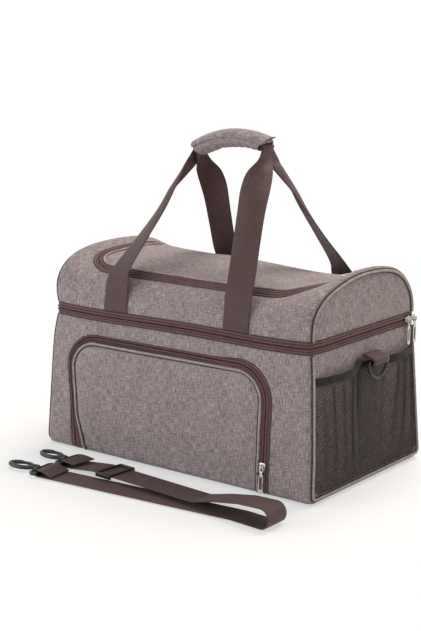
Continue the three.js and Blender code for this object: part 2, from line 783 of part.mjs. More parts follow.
function buildTab(name, side) {
  const shape = roundedShape(0, tabReach, 0, tabHeight, tabRound);
  const inside = roundedShape(
    tabStrap, tabReach - tabStrap, tabStrap, tabHeight - tabStrap, ringRoom, THREE.Path,
  );
  shape.holes.push(inside);
  const tab = alongY(shape, tabWidth);
  if (side < 0) tab.rotateZ(Math.PI);
  const holder = groupAt(side * tabBack, tabOffset, tabFoot);
  place(`tab_${name}`, tab, 'webbing', holder);
  const outerHalf = ringInside / 2 + ringWire;
  const ring = new THREE.Shape();
  ring.moveTo(outerHalf, ringWire / 2);
  ring.lineTo(-outerHalf, ringWire / 2);
  ring.absellipse(0, -ringWire / 2, outerHalf, ringDrop, Math.PI, 2 * Math.PI, false);
  ring.closePath();
  const eye = new THREE.Path();
  eye.moveTo(ringInside / 2, -ringWire / 2);
  eye.lineTo(-ringInside / 2, -ringWire / 2);
  eye.absellipse(0, -ringWire / 2, ringInside / 2, ringDrop - ringWire, Math.PI, 2 * Math.PI, false);
  eye.closePath();
  ring.holes.push(eye);
  const wire = alongY(ring, ringWire, 10).rotateZ(Math.PI / 2);
  place(`d_ring_${name}`, wire, 'plastic', groupAt(side * ringX, tabOffset, ringZ));
}

// Piping on the border of each end
function tubeRing(centre, across, outwards, radius, sides) {
  const ring = [];
  for (let i = 0; i < sides; i += 1) {
    const angle = 2 * Math.PI * i / sides;
    const p = centre.clone().addScaledVector(across, radius * Math.cos(angle));
    ring.push(p.addScaledVector(outwards, radius * Math.sin(angle)));
  }
  return ring;
}

function tubeAlong(path, outwards) {
  return loft(path.map((centre, i) => {
    const before = path[Math.max(i - 1, 0)];
    const after = path[Math.min(i + 1, path.length - 1)];
    const along = after.clone().sub(before).normalize();
    const across = new THREE.Vector3().crossVectors(along, outwards).normalize();
    return tubeRing(centre, across, outwards, pipingRadius, pipingSides);
  }));
}

function buildPiping() {
  const stand = pipingRadius + gap;
  for (const [name, side] of [['left', -1], ['right', 1]]) {
    const outwards = point(side, 0, 0);
    const arch = [];
    for (let step = 0; step <= archSteps; step += 1) {
      arch.push(archPoint(halfLength, step, pipingInset).setX(side * (halfLength + stand)));
    }
    place(`dome_piping_${name}`, tubeAlong(arch, outwards), 'canvas');
    const corner = (turn, z) => {
      const drawnIn = 1 - Math.sin(turn);
      const y = halfDepth + flareAt(z) - baseEdge * drawnIn - pipingInset * Math.sin(turn);
      return [y, z];
    };
    const down = [corner(Math.PI / 2, shellHeight - 2 * pipingRadius), corner(Math.PI / 2, shellHeight / 2)];
    for (let i = 2 * cornerSteps; i >= 0; i -= 1) {
      const turn = i / (2 * cornerSteps) * Math.PI / 2;
      down.push(corner(turn, baseEdge + (pipingInset - baseEdge) * Math.cos(turn)));
    }
    const at = ([y, z], row) => point(side * (endAt(z) + stand), row * y, z);
    const path = [...down.map((p) => at(p, -1)), ...down.reverse().map((p) => at(p, 1))];
    place(`lower_piping_${name}`, tubeAlong(path, outwards), 'canvas');
  }
}

// A zip's slider is a plate over the coils, with its bridge and hanging pull. It sits on a wall that
// faces -Y, the pull hangs along -Z, and the zip runs along Z, or across when asked.
const sliderFace = -coilHeight - gap - sliderPlate;
const pullAxis = sliderFace - (bridgeHeight - bridgeBar) / 2;

function framedShape(x0, x1, z0, z1, wall, wallLow = wall) {
  const shape = new THREE.Shape();
  shape.moveTo(x0, z0);
  shape.lineTo(x1, z0);
  shape.lineTo(x1, z1);
  shape.lineTo(x0, z1);
  shape.closePath();
  const eye = new THREE.Path();
  eye.moveTo(x0 + wall, z0 + wallLow);
  eye.lineTo(x1 - wall, z0 + wallLow);
  eye.lineTo(x1 - wall, z1 - wall);
  eye.lineTo(x0 + wall, z1 - wall);
  eye.closePath();
  shape.holes.push(eye);
  return shape;
}

function bridgeSolid() {
  const sunk = sliderPlate / 4;
  const shape = framedShape(-bridgeLength / 2, bridgeLength / 2, -sunk, bridgeHeight, bridgeBar, sunk);
  const settings = { depth: bridgeThickness, bevelEnabled: false };
  const bridge = new THREE.ExtrudeGeometry(shape, settings).translate(0, 0, -bridgeThickness / 2);
  // drawn along Z and outwards along -Y
  return bridge.rotateY(Math.PI / 2).rotateZ(Math.PI).translate(0, sliderFace, 0);
}

function pullSolid() {
  const half = pullWidth / 2;
  const eye = pullEye / 2;
  const shape = new THREE.Shape();
  shape.moveTo(-half, bridgeBar / 2);
  shape.lineTo(-half, half - pullLength);
  shape.absarc(0, half - pullLength, half, Math.PI, 2 * Math.PI, false);
  shape.lineTo(half, bridgeBar / 2);
  shape.closePath();
  const hole = new THREE.Path();
  const low = -Math.hypot(bridgeLength / 2, (bridgeHeight + bridgeBar) / 2) - 2 * gap;
  hole.moveTo(-eye, -bridgeBar / 2);
  hole.lineTo(-eye, low);
  hole.lineTo(eye, low);
  hole.lineTo(eye, -bridgeBar / 2);
  hole.closePath();
  shape.holes.push(hole);
  return alongY(shape, pullThickness);
}

function placeSlider(name, holder, across = false) {
  const [width, length] = across ? [sliderLength, sliderWidth] : [sliderWidth, sliderLength];
  const plate = box(-width / 2, width / 2, sliderFace, -coilHeight - gap, -length / 2, length / 2);
  place(`${name}_slider`, join(plate, bridgeSolid()), 'nickel', holder);
  place(`${name}_pull`, pullSolid(), 'nickel', holder).position.set(0, pullAxis, 0);
}

function buildSliders() {
  const pocket = groupAt(
    pocketRight - pocketZip / 2, frontAt(pocketSliderHeight), pocketSliderHeight,
  );
  pocket.rotation.x = -wallLean;
  placeSlider('pocket', pocket);
  const end = groupAt(halfLength, endSliderPlace, zipSplit);
  end.rotation.z = Math.PI / 2;
  placeSlider('end', end, true);
  const corner = groupAt(halfLength, halfDepth - edgeRadius, zipSplit);
  corner.rotation.z = Math.PI / 2;
  placeSlider('corner', corner, true);
  const x = flapHalf - flapZip / 2;
  const middle = archSteps / 2;
  const [front, rear] = [archPoint(x, middle, 0), archPoint(x, middle + 1, 0)];
  const along = rear.clone().sub(front).normalize();
  const inner = sagStations[sagStations.length - 3];
  const outer = sagStations[sagStations.length - 2];
  const across = archPoint(outer, middle, 0).sub(archPoint(inner, middle, 0)).normalize();
  const inwards = new THREE.Vector3().crossVectors(along, across).normalize();
  across.crossVectors(inwards, along);
  const share = flapSliderPlace / (rear.y - front.y);
  const flap = groupAt(...front.lerp(rear, share).toArray());
  flap.quaternion.setFromRotationMatrix(new THREE.Matrix4().makeBasis(across, inwards, along));
  placeSlider('flap', flap);
}

// Shoulder strap. Its two ends fan out from where they lie on each other near the fold.
const fanAngle = Math.atan(strapFan / (strapKink - strapEnd));
const fanLength = (strapKink - strapEnd) / Math.cos(fanAngle);

function strapPoint(side, run, z) {
  const x = strapKink - run * Math.cos(fanAngle);
  return point(x, side * run * Math.sin(fanAngle) - strapFront, z);
}

function strapRings(spots) {
  const centres = spots.map(({ side, run, z }) => strapPoint(side, run, z));
  return centres.map((centre, i) => {
    const { side, run } = spots[i];
    const angle = run > 0 ? -side * fanAngle : 0;
    const wide = point(-Math.sin(angle), Math.cos(angle), 0).multiplyScalar(strapWidth / 2);
    const before = centres[Math.max(i - 1, 0)];
    const after = centres[Math.min(i + 1, centres.length - 1)];
    const thick = after.clone().sub(before).cross(wide).normalize().multiplyScalar(strapThickness / 2);
    const corner = (a, b) => centre.clone().addScaledVector(wide, a).addScaledVector(thick, b);
    return [corner(1, 1), corner(1, -1), corner(-1, -1), corner(-1, 1)];
  });
}

// Round the bar of a hook's frame, from the tail that is sewn back to the long layer
function strapWrap(side, tailLift) {
  const lift = hookFrameThickness / 2 + strapThickness / 2 + gap + strapEase;
  const reach = hookBar / 2 + strapThickness / 2 + gap + strapEase / 2;
  const turn = [
    [-strapTail, tailLift - hookLift], [-strapTail / 3, lift], [reach - strapTurn, lift],
    [reach, lift - strapTurn], [reach, strapTurn - lift],
    [reach - strapTurn, -lift], [-strapTail / 4, -lift],
  ];
  return turn.map(([run, z]) => ({ side, run: fanLength + run, z: hookLift + z }));
}

function strapSpots() {
  const floor = strapThickness / 2 + gap;
  const spots = strapWrap(-1, floor + strapThickness + gap + strapEase);
  spots.push({ side: -1, run: fanLength - strapTail, z: floor }, { side: -1, run: 0, z: floor });
  const radius = (strapLoopHeight - floor) / 2;
  const turnX = strapFold - radius - strapThickness;
  for (let i = 0; i <= outlineSegments; i += 1) {
    const angle = Math.PI * i / outlineSegments;
    const run = strapKink - turnX - radius * Math.sin(angle);
    spots.push({ side: 1, run, z: floor + radius * (1 - Math.cos(angle)) });
  }
  spots.push({ side: 1, run: -strapLoopHeight / 2, z: strapLoopHeight * strapSlump });
  spots.push({ side: 1, run: strapLoopHeight, z: (strapLoopHeight + strapLayer) / 2 });
  spots.push({ side: 1, run: strapSlope * strapLoopHeight, z: strapLayer });
  const apart = strapWidth / Math.sin(fanAngle) / 2;
  spots.push({ side: 1, run: apart + strapTail / 2, z: strapLayer });
  return [...spots, ...strapWrap(1, strapLayer).reverse()];
}

function alongZ(shape, thickness) {
  const settings = { depth: thickness, bevelEnabled: false, curveSegments: outlineSegments };
  return new THREE.ExtrudeGeometry(shape, settings).translate(0, 0, -thickness / 2);
}

function rod(radius, x0, x1) {
  const cylinder = new THREE.CylinderGeometry(radius, radius, x1 - x0, rodSides);
  return cylinder.rotateZ(Math.PI / 2).translate((x0 + x1) / 2, 0, 0);
}

// A hook's frame holds the strap on its right-hand bar and the swivel post in its collar
function hookFrame() {
  const x1 = hookBar / 2;
  const x0 = x1 - hookFrameLength;
  const half = hookFrameWidth / 2;
  const frame = alongZ(framedShape(x0, x1, -half, half, hookBar), hookFrameThickness);
  const collar = rod(collarRadius, x0 - collarLength, x0 + hookBar / 2);
  return cut(join(frame, collar), rod(postRadius + gap, x0 - 2 * collarLength, x0 + postRecess));
}

const hookRoot = hookBar / 2 - hookFrameLength - collarLength - gap;

function ellipseShape(x, y, rx, ry) {
  const shape = new THREE.Shape();
  shape.absellipse(x, y, rx, ry, 0, 2 * Math.PI, false);
  return shape;
}

const gateRight = hookRoot - gateSetback;
const gateLeft = gateRight - gateLength;
const gateHalf = gateWidth / 2;
const gateLine = hookWidth / 2 - hookStock / 2;

function hookBody() {
  const middle = hookRoot - hookLength / 2;
  const outer = alongZ(ellipseShape(middle, 0, hookLength / 2, hookWidth / 2), hookStock);
  const rx = hookLength / 2 - hookStock;
  const inner = alongZ(ellipseShape(middle, 0, rx, hookWidth / 2 - hookStock), 2 * hookStock);
  const mouth = box(gateLeft, gateRight, mouthEdge, hookWidth, -hookStock, hookStock);
  const recess = postRecess - gap;
  const post = rod(postRadius, hookRoot - hookStock / 2, hookRoot + gap + collarLength + recess);
  return join(cut(outer, inner, mouth), post);
}

function hookGate() {
  const pivot = gateRight - gateInset - gateHalf;
  const shape = new THREE.Shape();
  shape.absarc(pivot, gateLine, gateHalf, -Math.PI / 2, Math.PI / 2, false);
  shape.lineTo(gateLeft + gateInset, gateLine + gateHalf);
  shape.lineTo(gateLeft + gateInset, gateLine - gateHalf);
  shape.closePath();
  return alongZ(shape, gateThickness);
}

// Three bars hold the strap: the middle one under it, the outer two over it
function glideSolid() {
  const low = -strapThickness / 2 - gap - glideThickness;
  const high = -low;
  const half = glideWidth / 2;
  const rail = (glideWidth - strapWidth) / 2 - gap;
  const end = glideLength / 2;
  const middle = box(-glideBar / 2, glideBar / 2, -half, half, low, low + glideThickness);
  const front = box(-end, glideBar - end, -half, half, high - glideThickness, high);
  const rear = box(end - glideBar, end, -half, half, high - glideThickness, high);
  const left = box(-end, end, -half, rail - half, low, high);
  const right = box(-end, end, half - rail, half, low, high);
  return join(middle, front, rear, left, right);
}

function buildStrap() {
  place('shoulder_strap', loft(strapRings(strapSpots())), 'webbing');
  for (const [name, side] of [['front', -1], ['rear', 1]]) {
    const at = strapPoint(side, fanLength, hookLift);
    const holder = groupAt(at.x, at.y, at.z);
    holder.rotation.z = -side * fanAngle;
    place(`strap_swivel_${name}`, hookFrame(), 'plastic', holder);
    place(`strap_hook_${name}`, hookBody(), 'plastic', holder);
    place(`strap_gate_${name}`, hookGate(), 'plastic', holder);
  }
  const glide = groupAt(...strapPoint(1, glideRun, strapLayer).toArray());
  glide.rotation.z = -fanAngle;
  place('tri_glide', glideSolid(), 'plastic', glide);
}

buildLowerBody();
buildPerimeterZip();
buildDome();
buildHandleBases();
place('front_handle', handleWebbing(true), 'webbing');
place('back_handle', handleWebbing(false), 'webbing');
buildGrip();
buildEndPockets();
buildPiping();
buildSliders();
buildStrap();

export default bag;
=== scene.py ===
import bpy
import bmesh
import json
import math
import numpy as np
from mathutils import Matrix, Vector, noise
from mathutils.geometry import delaunay_2d_cdt

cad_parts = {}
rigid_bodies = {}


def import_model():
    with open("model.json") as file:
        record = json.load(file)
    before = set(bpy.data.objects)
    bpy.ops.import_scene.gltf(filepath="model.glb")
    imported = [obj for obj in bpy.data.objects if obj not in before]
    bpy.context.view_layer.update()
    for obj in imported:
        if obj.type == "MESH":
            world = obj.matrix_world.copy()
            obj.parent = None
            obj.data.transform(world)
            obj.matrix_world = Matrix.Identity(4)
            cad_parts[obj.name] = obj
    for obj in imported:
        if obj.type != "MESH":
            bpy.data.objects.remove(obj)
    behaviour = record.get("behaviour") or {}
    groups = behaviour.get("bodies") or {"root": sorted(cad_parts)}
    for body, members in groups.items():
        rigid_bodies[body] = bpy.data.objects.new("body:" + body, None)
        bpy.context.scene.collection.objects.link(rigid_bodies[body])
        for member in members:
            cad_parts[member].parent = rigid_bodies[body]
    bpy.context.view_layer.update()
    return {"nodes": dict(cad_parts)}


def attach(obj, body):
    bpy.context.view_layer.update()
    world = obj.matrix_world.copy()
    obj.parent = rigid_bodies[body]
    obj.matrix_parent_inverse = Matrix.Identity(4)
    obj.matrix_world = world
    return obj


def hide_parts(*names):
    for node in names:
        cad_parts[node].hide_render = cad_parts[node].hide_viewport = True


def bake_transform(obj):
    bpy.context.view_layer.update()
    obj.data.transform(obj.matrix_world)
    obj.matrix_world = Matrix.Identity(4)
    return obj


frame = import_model()

mm = 0.001

# The bag's own form in millimetres. The origin is the middle of the base and the front faces -Y.
bag = {
    "halfLength": 210.0,
    "halfDepth": 125.0,
    "flare": 10.0,          # how far the base stands out past the zip
    "shellTop": 187.0,
    "split": 194.5,         # where the two halves of the big zip meet
    "zipTop": 202.0,
    "archFoot": 203.0,
    "riseLeft": 76.0,       # the dome over its foot, at its stiff left end
    "riseRight": 69.0,
    "riseMiddle": 60.0,     # and where it sags
    "riseMean": 63.0,       # at which the length of the cloth over the top is measured
    "sagPower": 5.0,
    "domePower": 2.6,
    "corner": 6.0,
    "baseEdge": 18.0,
    "baseEdgeEnd": 5.0,
    "basePower": 3.6,       # how square the filled base pushes that edge
    "cloth": 1.5,
    "belly": 2.2,           # how far the soft walls swell between their seams
    "waves": 1.0,           # height of the slack waves in the cloth
    "fadeBase": 30.0,       # distances from a seam over which swell and waves die out
    "fadeZip": 26.0,
    "fadeFoot": 30.0,
    "fadeEnd": 22.0,
}


def flareAt(z):
    return bag["flare"] * (1 - z / bag["shellTop"])


def baseRound(v, inset=0.0):
    # height, and share of the edge's radius drawn in, where the walls turn under the bag
    edge = bag["baseEdge"]
    turn = np.clip(np.asarray(v, float) / edge, 0, 1) * math.pi / 2
    low = edge - (edge - inset) * np.clip(np.cos(turn), 0, 1) ** (2 / bag["basePower"])
    return np.where(v < edge, low, v), 1 - np.sin(turn) ** (2 / bag["basePower"])


def hexColour(code):
    parts = [int(code[i:i + 2], 16) / 255 for i in (0, 2, 4)]
    return tuple(c / 12.92 if c <= 0.04045 else ((c + 0.055) / 1.055) ** 2.4 for c in parts) + (1.0,)


def addNode(tree, kind, settings=None, inputs=None, links=None):
    node = tree.nodes.new(kind)
    for key, value in (settings or {}).items():
        setattr(node, key, value)
    for key, value in (inputs or {}).items():
        node.inputs[key].default_value = value
    for key, source in (links or {}).items():
        tree.links.new(source, node.inputs[key])
    return node


# Meshes: points come in millimetres, and uv in millimetres of cloth
def newPiece(name, data, material=None):
    piece = bpy.data.objects.new(name, data)
    bpy.context.scene.collection.objects.link(piece)
    if material is not None:
        data.materials.clear()
        data.materials.append(material)
    return piece


def makeMesh(name, points, faces, material=None, uv=None):
    points = np.asarray(points, float).reshape(-1, 3) * mm
    data = bpy.data.meshes.new(name)
    data.from_pydata(points.tolist(), [], [[int(i) for i in f] for f in faces])
    data.polygons.foreach_set("use_smooth", [True] * len(data.polygons))
    if uv is not None:
        layer = data.uv_layers.new(name="cloth")
        corners = np.empty(len(data.loops), np.int32)
        data.loops.foreach_get("vertex_index", corners)
        layer.data.foreach_set("uv", (np.asarray(uv, float) * mm)[corners].astype(np.float32).ravel())
    data.update()
    return newPiece(name, data, material)


def joined(name, pieces):
    # several meshes as one piece; their materials are kept
    bpy.ops.object.select_all(action="DESELECT")
    for piece in pieces:
        piece.select_set(True)
    bpy.context.view_layer.objects.active = pieces[0]
    bpy.ops.object.join()
    pieces[0].name = name
    pieces[0].data.name = name
    return pieces[0]


def finalMesh(piece):
    graph = bpy.context.evaluated_depsgraph_get()
    return bpy.data.meshes.new_from_object(piece.evaluated_get(graph), depsgraph=graph)


def thickened(piece, thickness, offset=-1.0):
    solid = piece.modifiers.new("thickness", "SOLIDIFY")
    solid.thickness = thickness * mm
    solid.offset = offset
    solid.use_even_offset = True
    data = finalMesh(piece)
    piece.modifiers.clear()
    piece.data = data
    return piece


def faceOutwards(piece, merge=0.001):
    work = bmesh.new()
    work.from_mesh(piece.data)
    bmesh.ops.remove_doubles(work, verts=work.verts, dist=merge * mm)
    bmesh.ops.recalc_face_normals(work, faces=work.faces)
    work.to_mesh(piece.data)
    work.free()
    return piece


def fitted(piece, slot, body, *nodes, fold=None):
    # puts a finished piece on its body and hides the parts that it stands for; a piece given a fold, whose
    # two places are in metres, only has its transform baked in and is put on no body
    if nodes:
        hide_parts(*nodes)
    if fold:
        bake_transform(piece)
    else:
        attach(piece, body)
    return piece


def pointsOf(piece):
    points = np.empty(len(piece.data.vertices) * 3)
    piece.data.vertices.foreach_get("co", points)
    return points.reshape(-1, 3)


def setPoints(piece, points):
    piece.data.vertices.foreach_set("co", np.asarray(points, float).ravel())
    piece.data.update()


padding = {"pressure": 4.0, "quiltPressure": 30.0, "frames": 20, "quality": 6,
           "flapCap": 3.0, "quiltCap": 2.2}     # the most that a point of the pad moves


def swollen(piece, sewn, cap, pressure):
    # cloth simulation: air pressure fills a pad that is held where it is sewn, and no point moves past cap
    before = pointsOf(piece)
    held = piece.vertex_groups.new(name="sewn")
    held.add([int(i) for i in np.flatnonzero(sewn)], 1.0, "REPLACE")
    cloth = piece.modifiers.new("padding", "CLOTH")
    cloth.settings.vertex_group_mass = "sewn"
    cloth.settings.use_pressure = True
    cloth.settings.uniform_pressure_force = pressure
    cloth.settings.effector_weights.gravity = 0.0
    cloth.settings.quality = padding["quality"]
    cloth.point_cache.frame_start, cloth.point_cache.frame_end = 1, padding["frames"]
    for step in range(1, padding["frames"] + 1):
        bpy.context.scene.frame_set(step)
    graph = bpy.context.evaluated_depsgraph_get()
    after = pointsOf(piece.evaluated_get(graph))
    piece.modifiers.clear()
    piece.vertex_groups.clear()
    bpy.context.scene.frame_set(1)
    push = np.nan_to_num(after - before)
    far = np.linalg.norm(push, axis=1, keepdims=True)
    limit = cap * mm
    setPoints(piece, before + push * (limit * np.tanh(far / limit) / np.maximum(far, 1e-9)))
    print(piece.name, "padded: moved by up to", round(float(far.max()) / mm, 1), "mm before the cap")
    return piece


def unit(vectors):
    return vectors / np.maximum(np.linalg.norm(vectors, axis=-1, keepdims=True), 1e-9)


def ripple(points, size, seed=0.0):
    # smooth hills between -1 and 1, one every size millimetres
    shift = Vector((seed * 13.7, seed * 5.1, seed * 9.3))
    return np.array([noise.noise(Vector(p) / size + shift) for p in np.asarray(points, float).tolist()])


def distances(line):
    # how far along a line each of its points is
    return np.concatenate([[0], np.cumsum(np.linalg.norm(np.diff(line, axis=0), axis=1))])


def paired(along, across):
    return np.stack(np.meshgrid(along, across, indexing="ij"), -1).reshape(-1, 2)


def nearness(points, line):
    # the square of each point's distance from the nearest point of a line
    return np.array([np.min(np.sum((line - p) ** 2, 1)) for p in points])


def resample(line, step, closed=False):
    line = np.asarray(line, float)
    if closed:
        line = np.vstack([line, line[:1]])
    lengths = distances(line)
    count = max(int(round(lengths[-1] / step)), 2)
    at = np.linspace(0, lengths[-1], count + 1)
    spaced = np.stack([np.interp(at, lengths, line[:, k]) for k in range(line.shape[1])], 1)
    return spaced[:-1] if closed else spaced


def curveThrough(points, count):
    # Catmull-Rom through rows of numbers
    p = np.asarray(points, float)
    p = np.vstack([2 * p[0] - p[1], p, 2 * p[-1] - p[-2]])
    at = np.linspace(0, len(p) - 3 - 1e-9, count)
    i = at.astype(int)
    t = (at - i)[:, None]
    a, b, c, d = p[i], p[i + 1], p[i + 2], p[i + 3]
    return 0.5 * (2 * b + (c - a) * t + (2 * a - 5 * b + 4 * c - d) * t ** 2
                  + (3 * b - a - 3 * c + d) * t ** 3)


def rectangle(x0, x1, y0, y1, step):
    corners = [[x0, y0], [x1, y0], [x1, y1], [x0, y1], [x0, y0]]
    return np.vstack([resample(corners[i:i + 2], step)[:-1] for i in range(4)])


def insideLoop(points, loop):
    x, y = points[:, 0][:, None], points[:, 1][:, None]
    x0, y0 = loop.T
    x1, y1 = np.roll(loop, -1, 0).T
    rise = np.where(np.abs(y1 - y0) < 1e-12, 1e-12, y1 - y0)
    return (((y0 <= y) != (y1 <= y)) & (x < (x1 - x0) * (y - y0) / rise + x0)).sum(1) % 2 == 1


rowShare = 0.87      # rows of a triangular grid lie this share of a step apart
edgeShare = 0.55     # and no grid point lies nearer than this share of a step to an edge


def clothRegion(name, outer, holes, step, surface, material, thickness, weld=False):
    # a pattern piece: cut out flat, laid over a surface and given its thickness inwards
    def within(points):
        keep = insideLoop(points, outer)
        for hole in holes:
            keep &= ~insideLoop(points, hole)
        return keep

    low, high = outer.min(0), outer.max(0)
    rows = int((high[1] - low[1]) / (step * rowShare)) + 1
    columns = int((high[0] - low[0]) / step) + 1
    grid = np.array([[low[0] + (i + 0.5 * (j % 2)) * step, low[1] + j * step * rowShare]
                     for j in range(rows + 1) for i in range(columns + 1)])
    loops = [outer, *holes]
    border = np.vstack(loops)
    grid = grid[within(grid)]
    points = np.vstack([border, grid[nearness(grid, border) > (edgeShare * step) ** 2]])
    edges, first = [], 0
    for loop in loops:
        edges += [(first + i, first + (i + 1) % len(loop)) for i in range(len(loop))]
        first += len(loop)
    flat, _, faces, *_ = delaunay_2d_cdt([Vector(p) for p in points.tolist()], edges, [], 0, 1e-5)
    flat = np.array([tuple(p) for p in flat])
    faces = np.array([tuple(f) for f in faces])
    faces = faces[within(flat[faces].mean(1))]
    piece = makeMesh(name, surface(flat[:, 0], flat[:, 1]), faces, material, flat)
    if weld:
        faceOutwards(piece, 0.4)
    return thickened(piece, thickness) if thickness else piece


def ribbon(name, rows, material, thickness=0.0, across=None, along=None):
    # rows: along the route, across it, xyz; rows turn with their outer side up
    rows = np.asarray(rows, float)
    n, m = rows.shape[:2]
    index = np.arange(n * m).reshape(n, m)
    faces = np.stack([index[:-1, :-1], index[1:, :-1], index[1:, 1:], index[:-1, 1:]], -1).reshape(-1, 4)
    across = distances(rows[n // 2]) if across is None else np.asarray(across, float)
    along = distances(rows[:, m // 2]) if along is None else along
    piece = makeMesh(name, rows, faces, material, paired(along, across))
    return thickened(piece, thickness) if thickness else piece


def roundSkin(name, rings, material, uv=None, closed=False):
    # a closed surface over rings of points; a skin that isn't closed has a cap at each end
    index = np.arange(rings.shape[0] * rings.shape[1]).reshape(rings.shape[:2])
    near, far = (index, np.roll(index, -1, 0)) if closed else (index[:-1], index[1:])
    faces = np.stack([near, np.roll(near, -1, 1), np.roll(far, -1, 1), far], -1).reshape(-1, 4).tolist()
    if not closed:
        faces += [index[0][::-1].tolist(), index[-1].tolist()]
    return faceOutwards(makeMesh(name, rings, faces, material, uv))


def tube(name, path, radius, sides, material, closed=False, up=(0, 0, 1), flatten=1.0):
    path = np.asarray(path, float)
    before = np.roll(path, 1, 0) if closed else np.vstack([path[:1], path[:-1]])
    after = np.roll(path, -1, 0) if closed else np.vstack([path[1:], path[-1:]])
    along = unit(after - before)
    side = unit(np.cross(along, np.broadcast_to(np.asarray(up, float), along.shape)))
    top = np.cross(side, along)
    turn = np.linspace(0, 2 * np.pi, sides, endpoint=False)
    radii = np.broadcast_to(np.asarray(radius, float), (len(path),))[:, None, None]
    rings = (path[:, None] + radii * (np.cos(turn)[None, :, None] * side[:, None]
             + flatten * np.sin(turn)[None, :, None] * top[:, None]))
    return roundSkin(name, rings, material, paired(distances(path), turn * float(np.mean(radii))), closed)


# Materials. A finish is its shader's values and the patterns laid over each other for its colour. The share
# of a pattern is how far it covers those before it, and its size is that of one thread, grain or cell in
# millimetres. Relief names the pattern that also stands out, alone or over the others, and by how much.
textures = {"noise": ("ShaderNodeTexNoise", "Fac", {"Scale": 1.0, "Detail": 2.0}),
            "wave": ("ShaderNodeTexWave", "Fac", {"Scale": 0.5, "Detail": 1.0}),
            "cells": ("ShaderNodeTexVoronoi", "Distance", {"Scale": 1.0})}


def newMaterial(name, surface):
    material = bpy.data.materials.new(name)
    material.use_nodes = True
    tree = material.node_tree
    shader = tree.nodes["Principled BSDF"]
    for key, value in surface.items():
        shader.inputs[key].default_value = value
    return material, tree, shader


def finished(name, finish, *colours):
    material, tree, shader = newMaterial(name, finish["surface"])
    place = addNode(tree, "ShaderNodeTexCoord").outputs[finish["along"]]
    alone, over = [], []
    for layer in finish["layers"]:
        kind, output, usual = textures[layer["pattern"]]
        turn = (0, 0, math.radians(layer.get("turn", 0)))
        scaled = addNode(tree, "ShaderNodeMapping", links={"Vector": place},
                         inputs={"Scale": tuple(1000 / s for s in layer["size"]), "Rotation": turn})
        pattern = addNode(tree, kind, layer.get("settings"), {**usual, **layer.get("inputs", {})},
                          {"Vector": scaled.outputs["Vector"]})
        alone.append(pattern.outputs[output])
        over.append(alone[-1] if not over else addNode(
            tree, "ShaderNodeMix", {"data_type": "FLOAT"}, {"Factor": layer["share"]},
            {"A": over[-1], "B": alone[-1]}).outputs["Result"])
    ramp = addNode(tree, "ShaderNodeValToRGB", links={"Fac": over[-1]})
    while len(ramp.color_ramp.elements) < len(colours):
        ramp.color_ramp.elements.new(0.5)
    for element, position, code in zip(ramp.color_ramp.elements, finish["stops"], colours):
        element.position = position
        element.color = hexColour(code)
    tree.links.new(ramp.outputs["Color"], shader.inputs["Base Color"])
    if "roughest" in finish:
        low, high = finish["roughest"]
        gloss = addNode(tree, "ShaderNodeMapRange", inputs={"To Min": low, "To Max": high},
                        links={"Value": alone[0]})
        tree.links.new(gloss.outputs["Result"], shader.inputs["Roughness"])
    which, number, depth = finish["relief"]
    bump = addNode(tree, "ShaderNodeBump", inputs={"Strength": 1.0, "Distance": depth * mm},
                   links={"Height": (alone if which == "alone" else over)[number]})
    tree.links.new(bump.outputs["Normal"], shader.inputs["Normal"])
    return material


# Heathered polyester woven to look like linen: matt, with short pale and dark slubs both ways.
# Its threads are 0.4 mm; they are drawn 1.1 mm wide, because finer ones don't show.
linenCloth = {
    "surface": {"Roughness": 0.92, "Sheen Weight": 0.1, "Sheen Roughness": 0.5, "Specular IOR Level": 0.2},
    "along": "UV", "stops": (0.33, 0.5, 0.67), "relief": ("over", 1, 0.16),
    "layers": [{"pattern": "noise", "size": (1.1, 10, 8)},
               {"pattern": "noise", "size": (10, 1.1, 8), "share": 0.45},
               {"pattern": "noise", "size": (26, 40, 30), "share": 0.08, "inputs": {"Detail": 1.0}}],
}
# Polypropylene webbing in a twill: a faint satin gloss on its slanting ribs.
# The ribs are 1.5 mm apart in the real one and drawn 2.3 mm apart, because finer ones don't show.
twillWebbing = {
    "surface": {"Roughness": 0.62, "Sheen Weight": 0.06, "Specular IOR Level": 0.35},
    "along": "UV", "stops": (0.2, 0.5, 0.8), "relief": ("alone", 1, 0.16),
    "layers": [{"pattern": "noise", "size": (7, 1.3, 4)},
               {"pattern": "wave", "size": (3.7, 3.7, 1), "turn": 48, "share": 0.3,
                "inputs": {"Distortion": 0.8, "Detail Scale": 1.5}}],
}
# Woven polyester zip tape, dyed to match the webbing: fine cross ribs, a little duller than the coil.
zipperTape = {
    "surface": {"Roughness": 0.5, "Sheen Weight": 0.1, "Specular IOR Level": 0.4},
    "along": "UV", "stops": (0.25, 0.5, 0.75), "relief": ("alone", 1, 0.15),
    "layers": [{"pattern": "noise", "size": (14, 1.1, 6)},
               {"pattern": "wave", "size": (1.5, 3, 1), "share": 0.3, "inputs": {"Distortion": 0.6}}],
}
# Knitted elastic binding: black, matt, with ribs along it and gathers across it.
ribbedElastic = {
    "surface": {"Roughness": 0.85, "Sheen Weight": 0.1, "Specular IOR Level": 0.25},
    "along": "UV", "stops": (0.3, 0.7), "relief": ("over", 1, 0.4),
    "layers": [{"pattern": "wave", "size": (3, 1.5, 1), "settings": {"bands_direction": "Y"},
                "inputs": {"Distortion": 0.8}},
               {"pattern": "noise", "size": (3.5, 20, 5), "share": 0.6}],
}
# Aluminised polyethylene film heat-sealed on foam: bright, with soft crinkles that spread the gloss.
foilLining = {
    "surface": {"Metallic": 0.75, "Roughness": 0.34},
    "along": "Object", "stops": (0.2, 0.6), "relief": ("over", 1, 0.9),
    "layers": [{"pattern": "noise", "size": (7, 7, 7), "inputs": {"Detail": 3.0}},
               {"pattern": "cells", "size": (13, 13, 13), "share": 0.4,
                "settings": {"feature": "DISTANCE_TO_EDGE"}}],
}
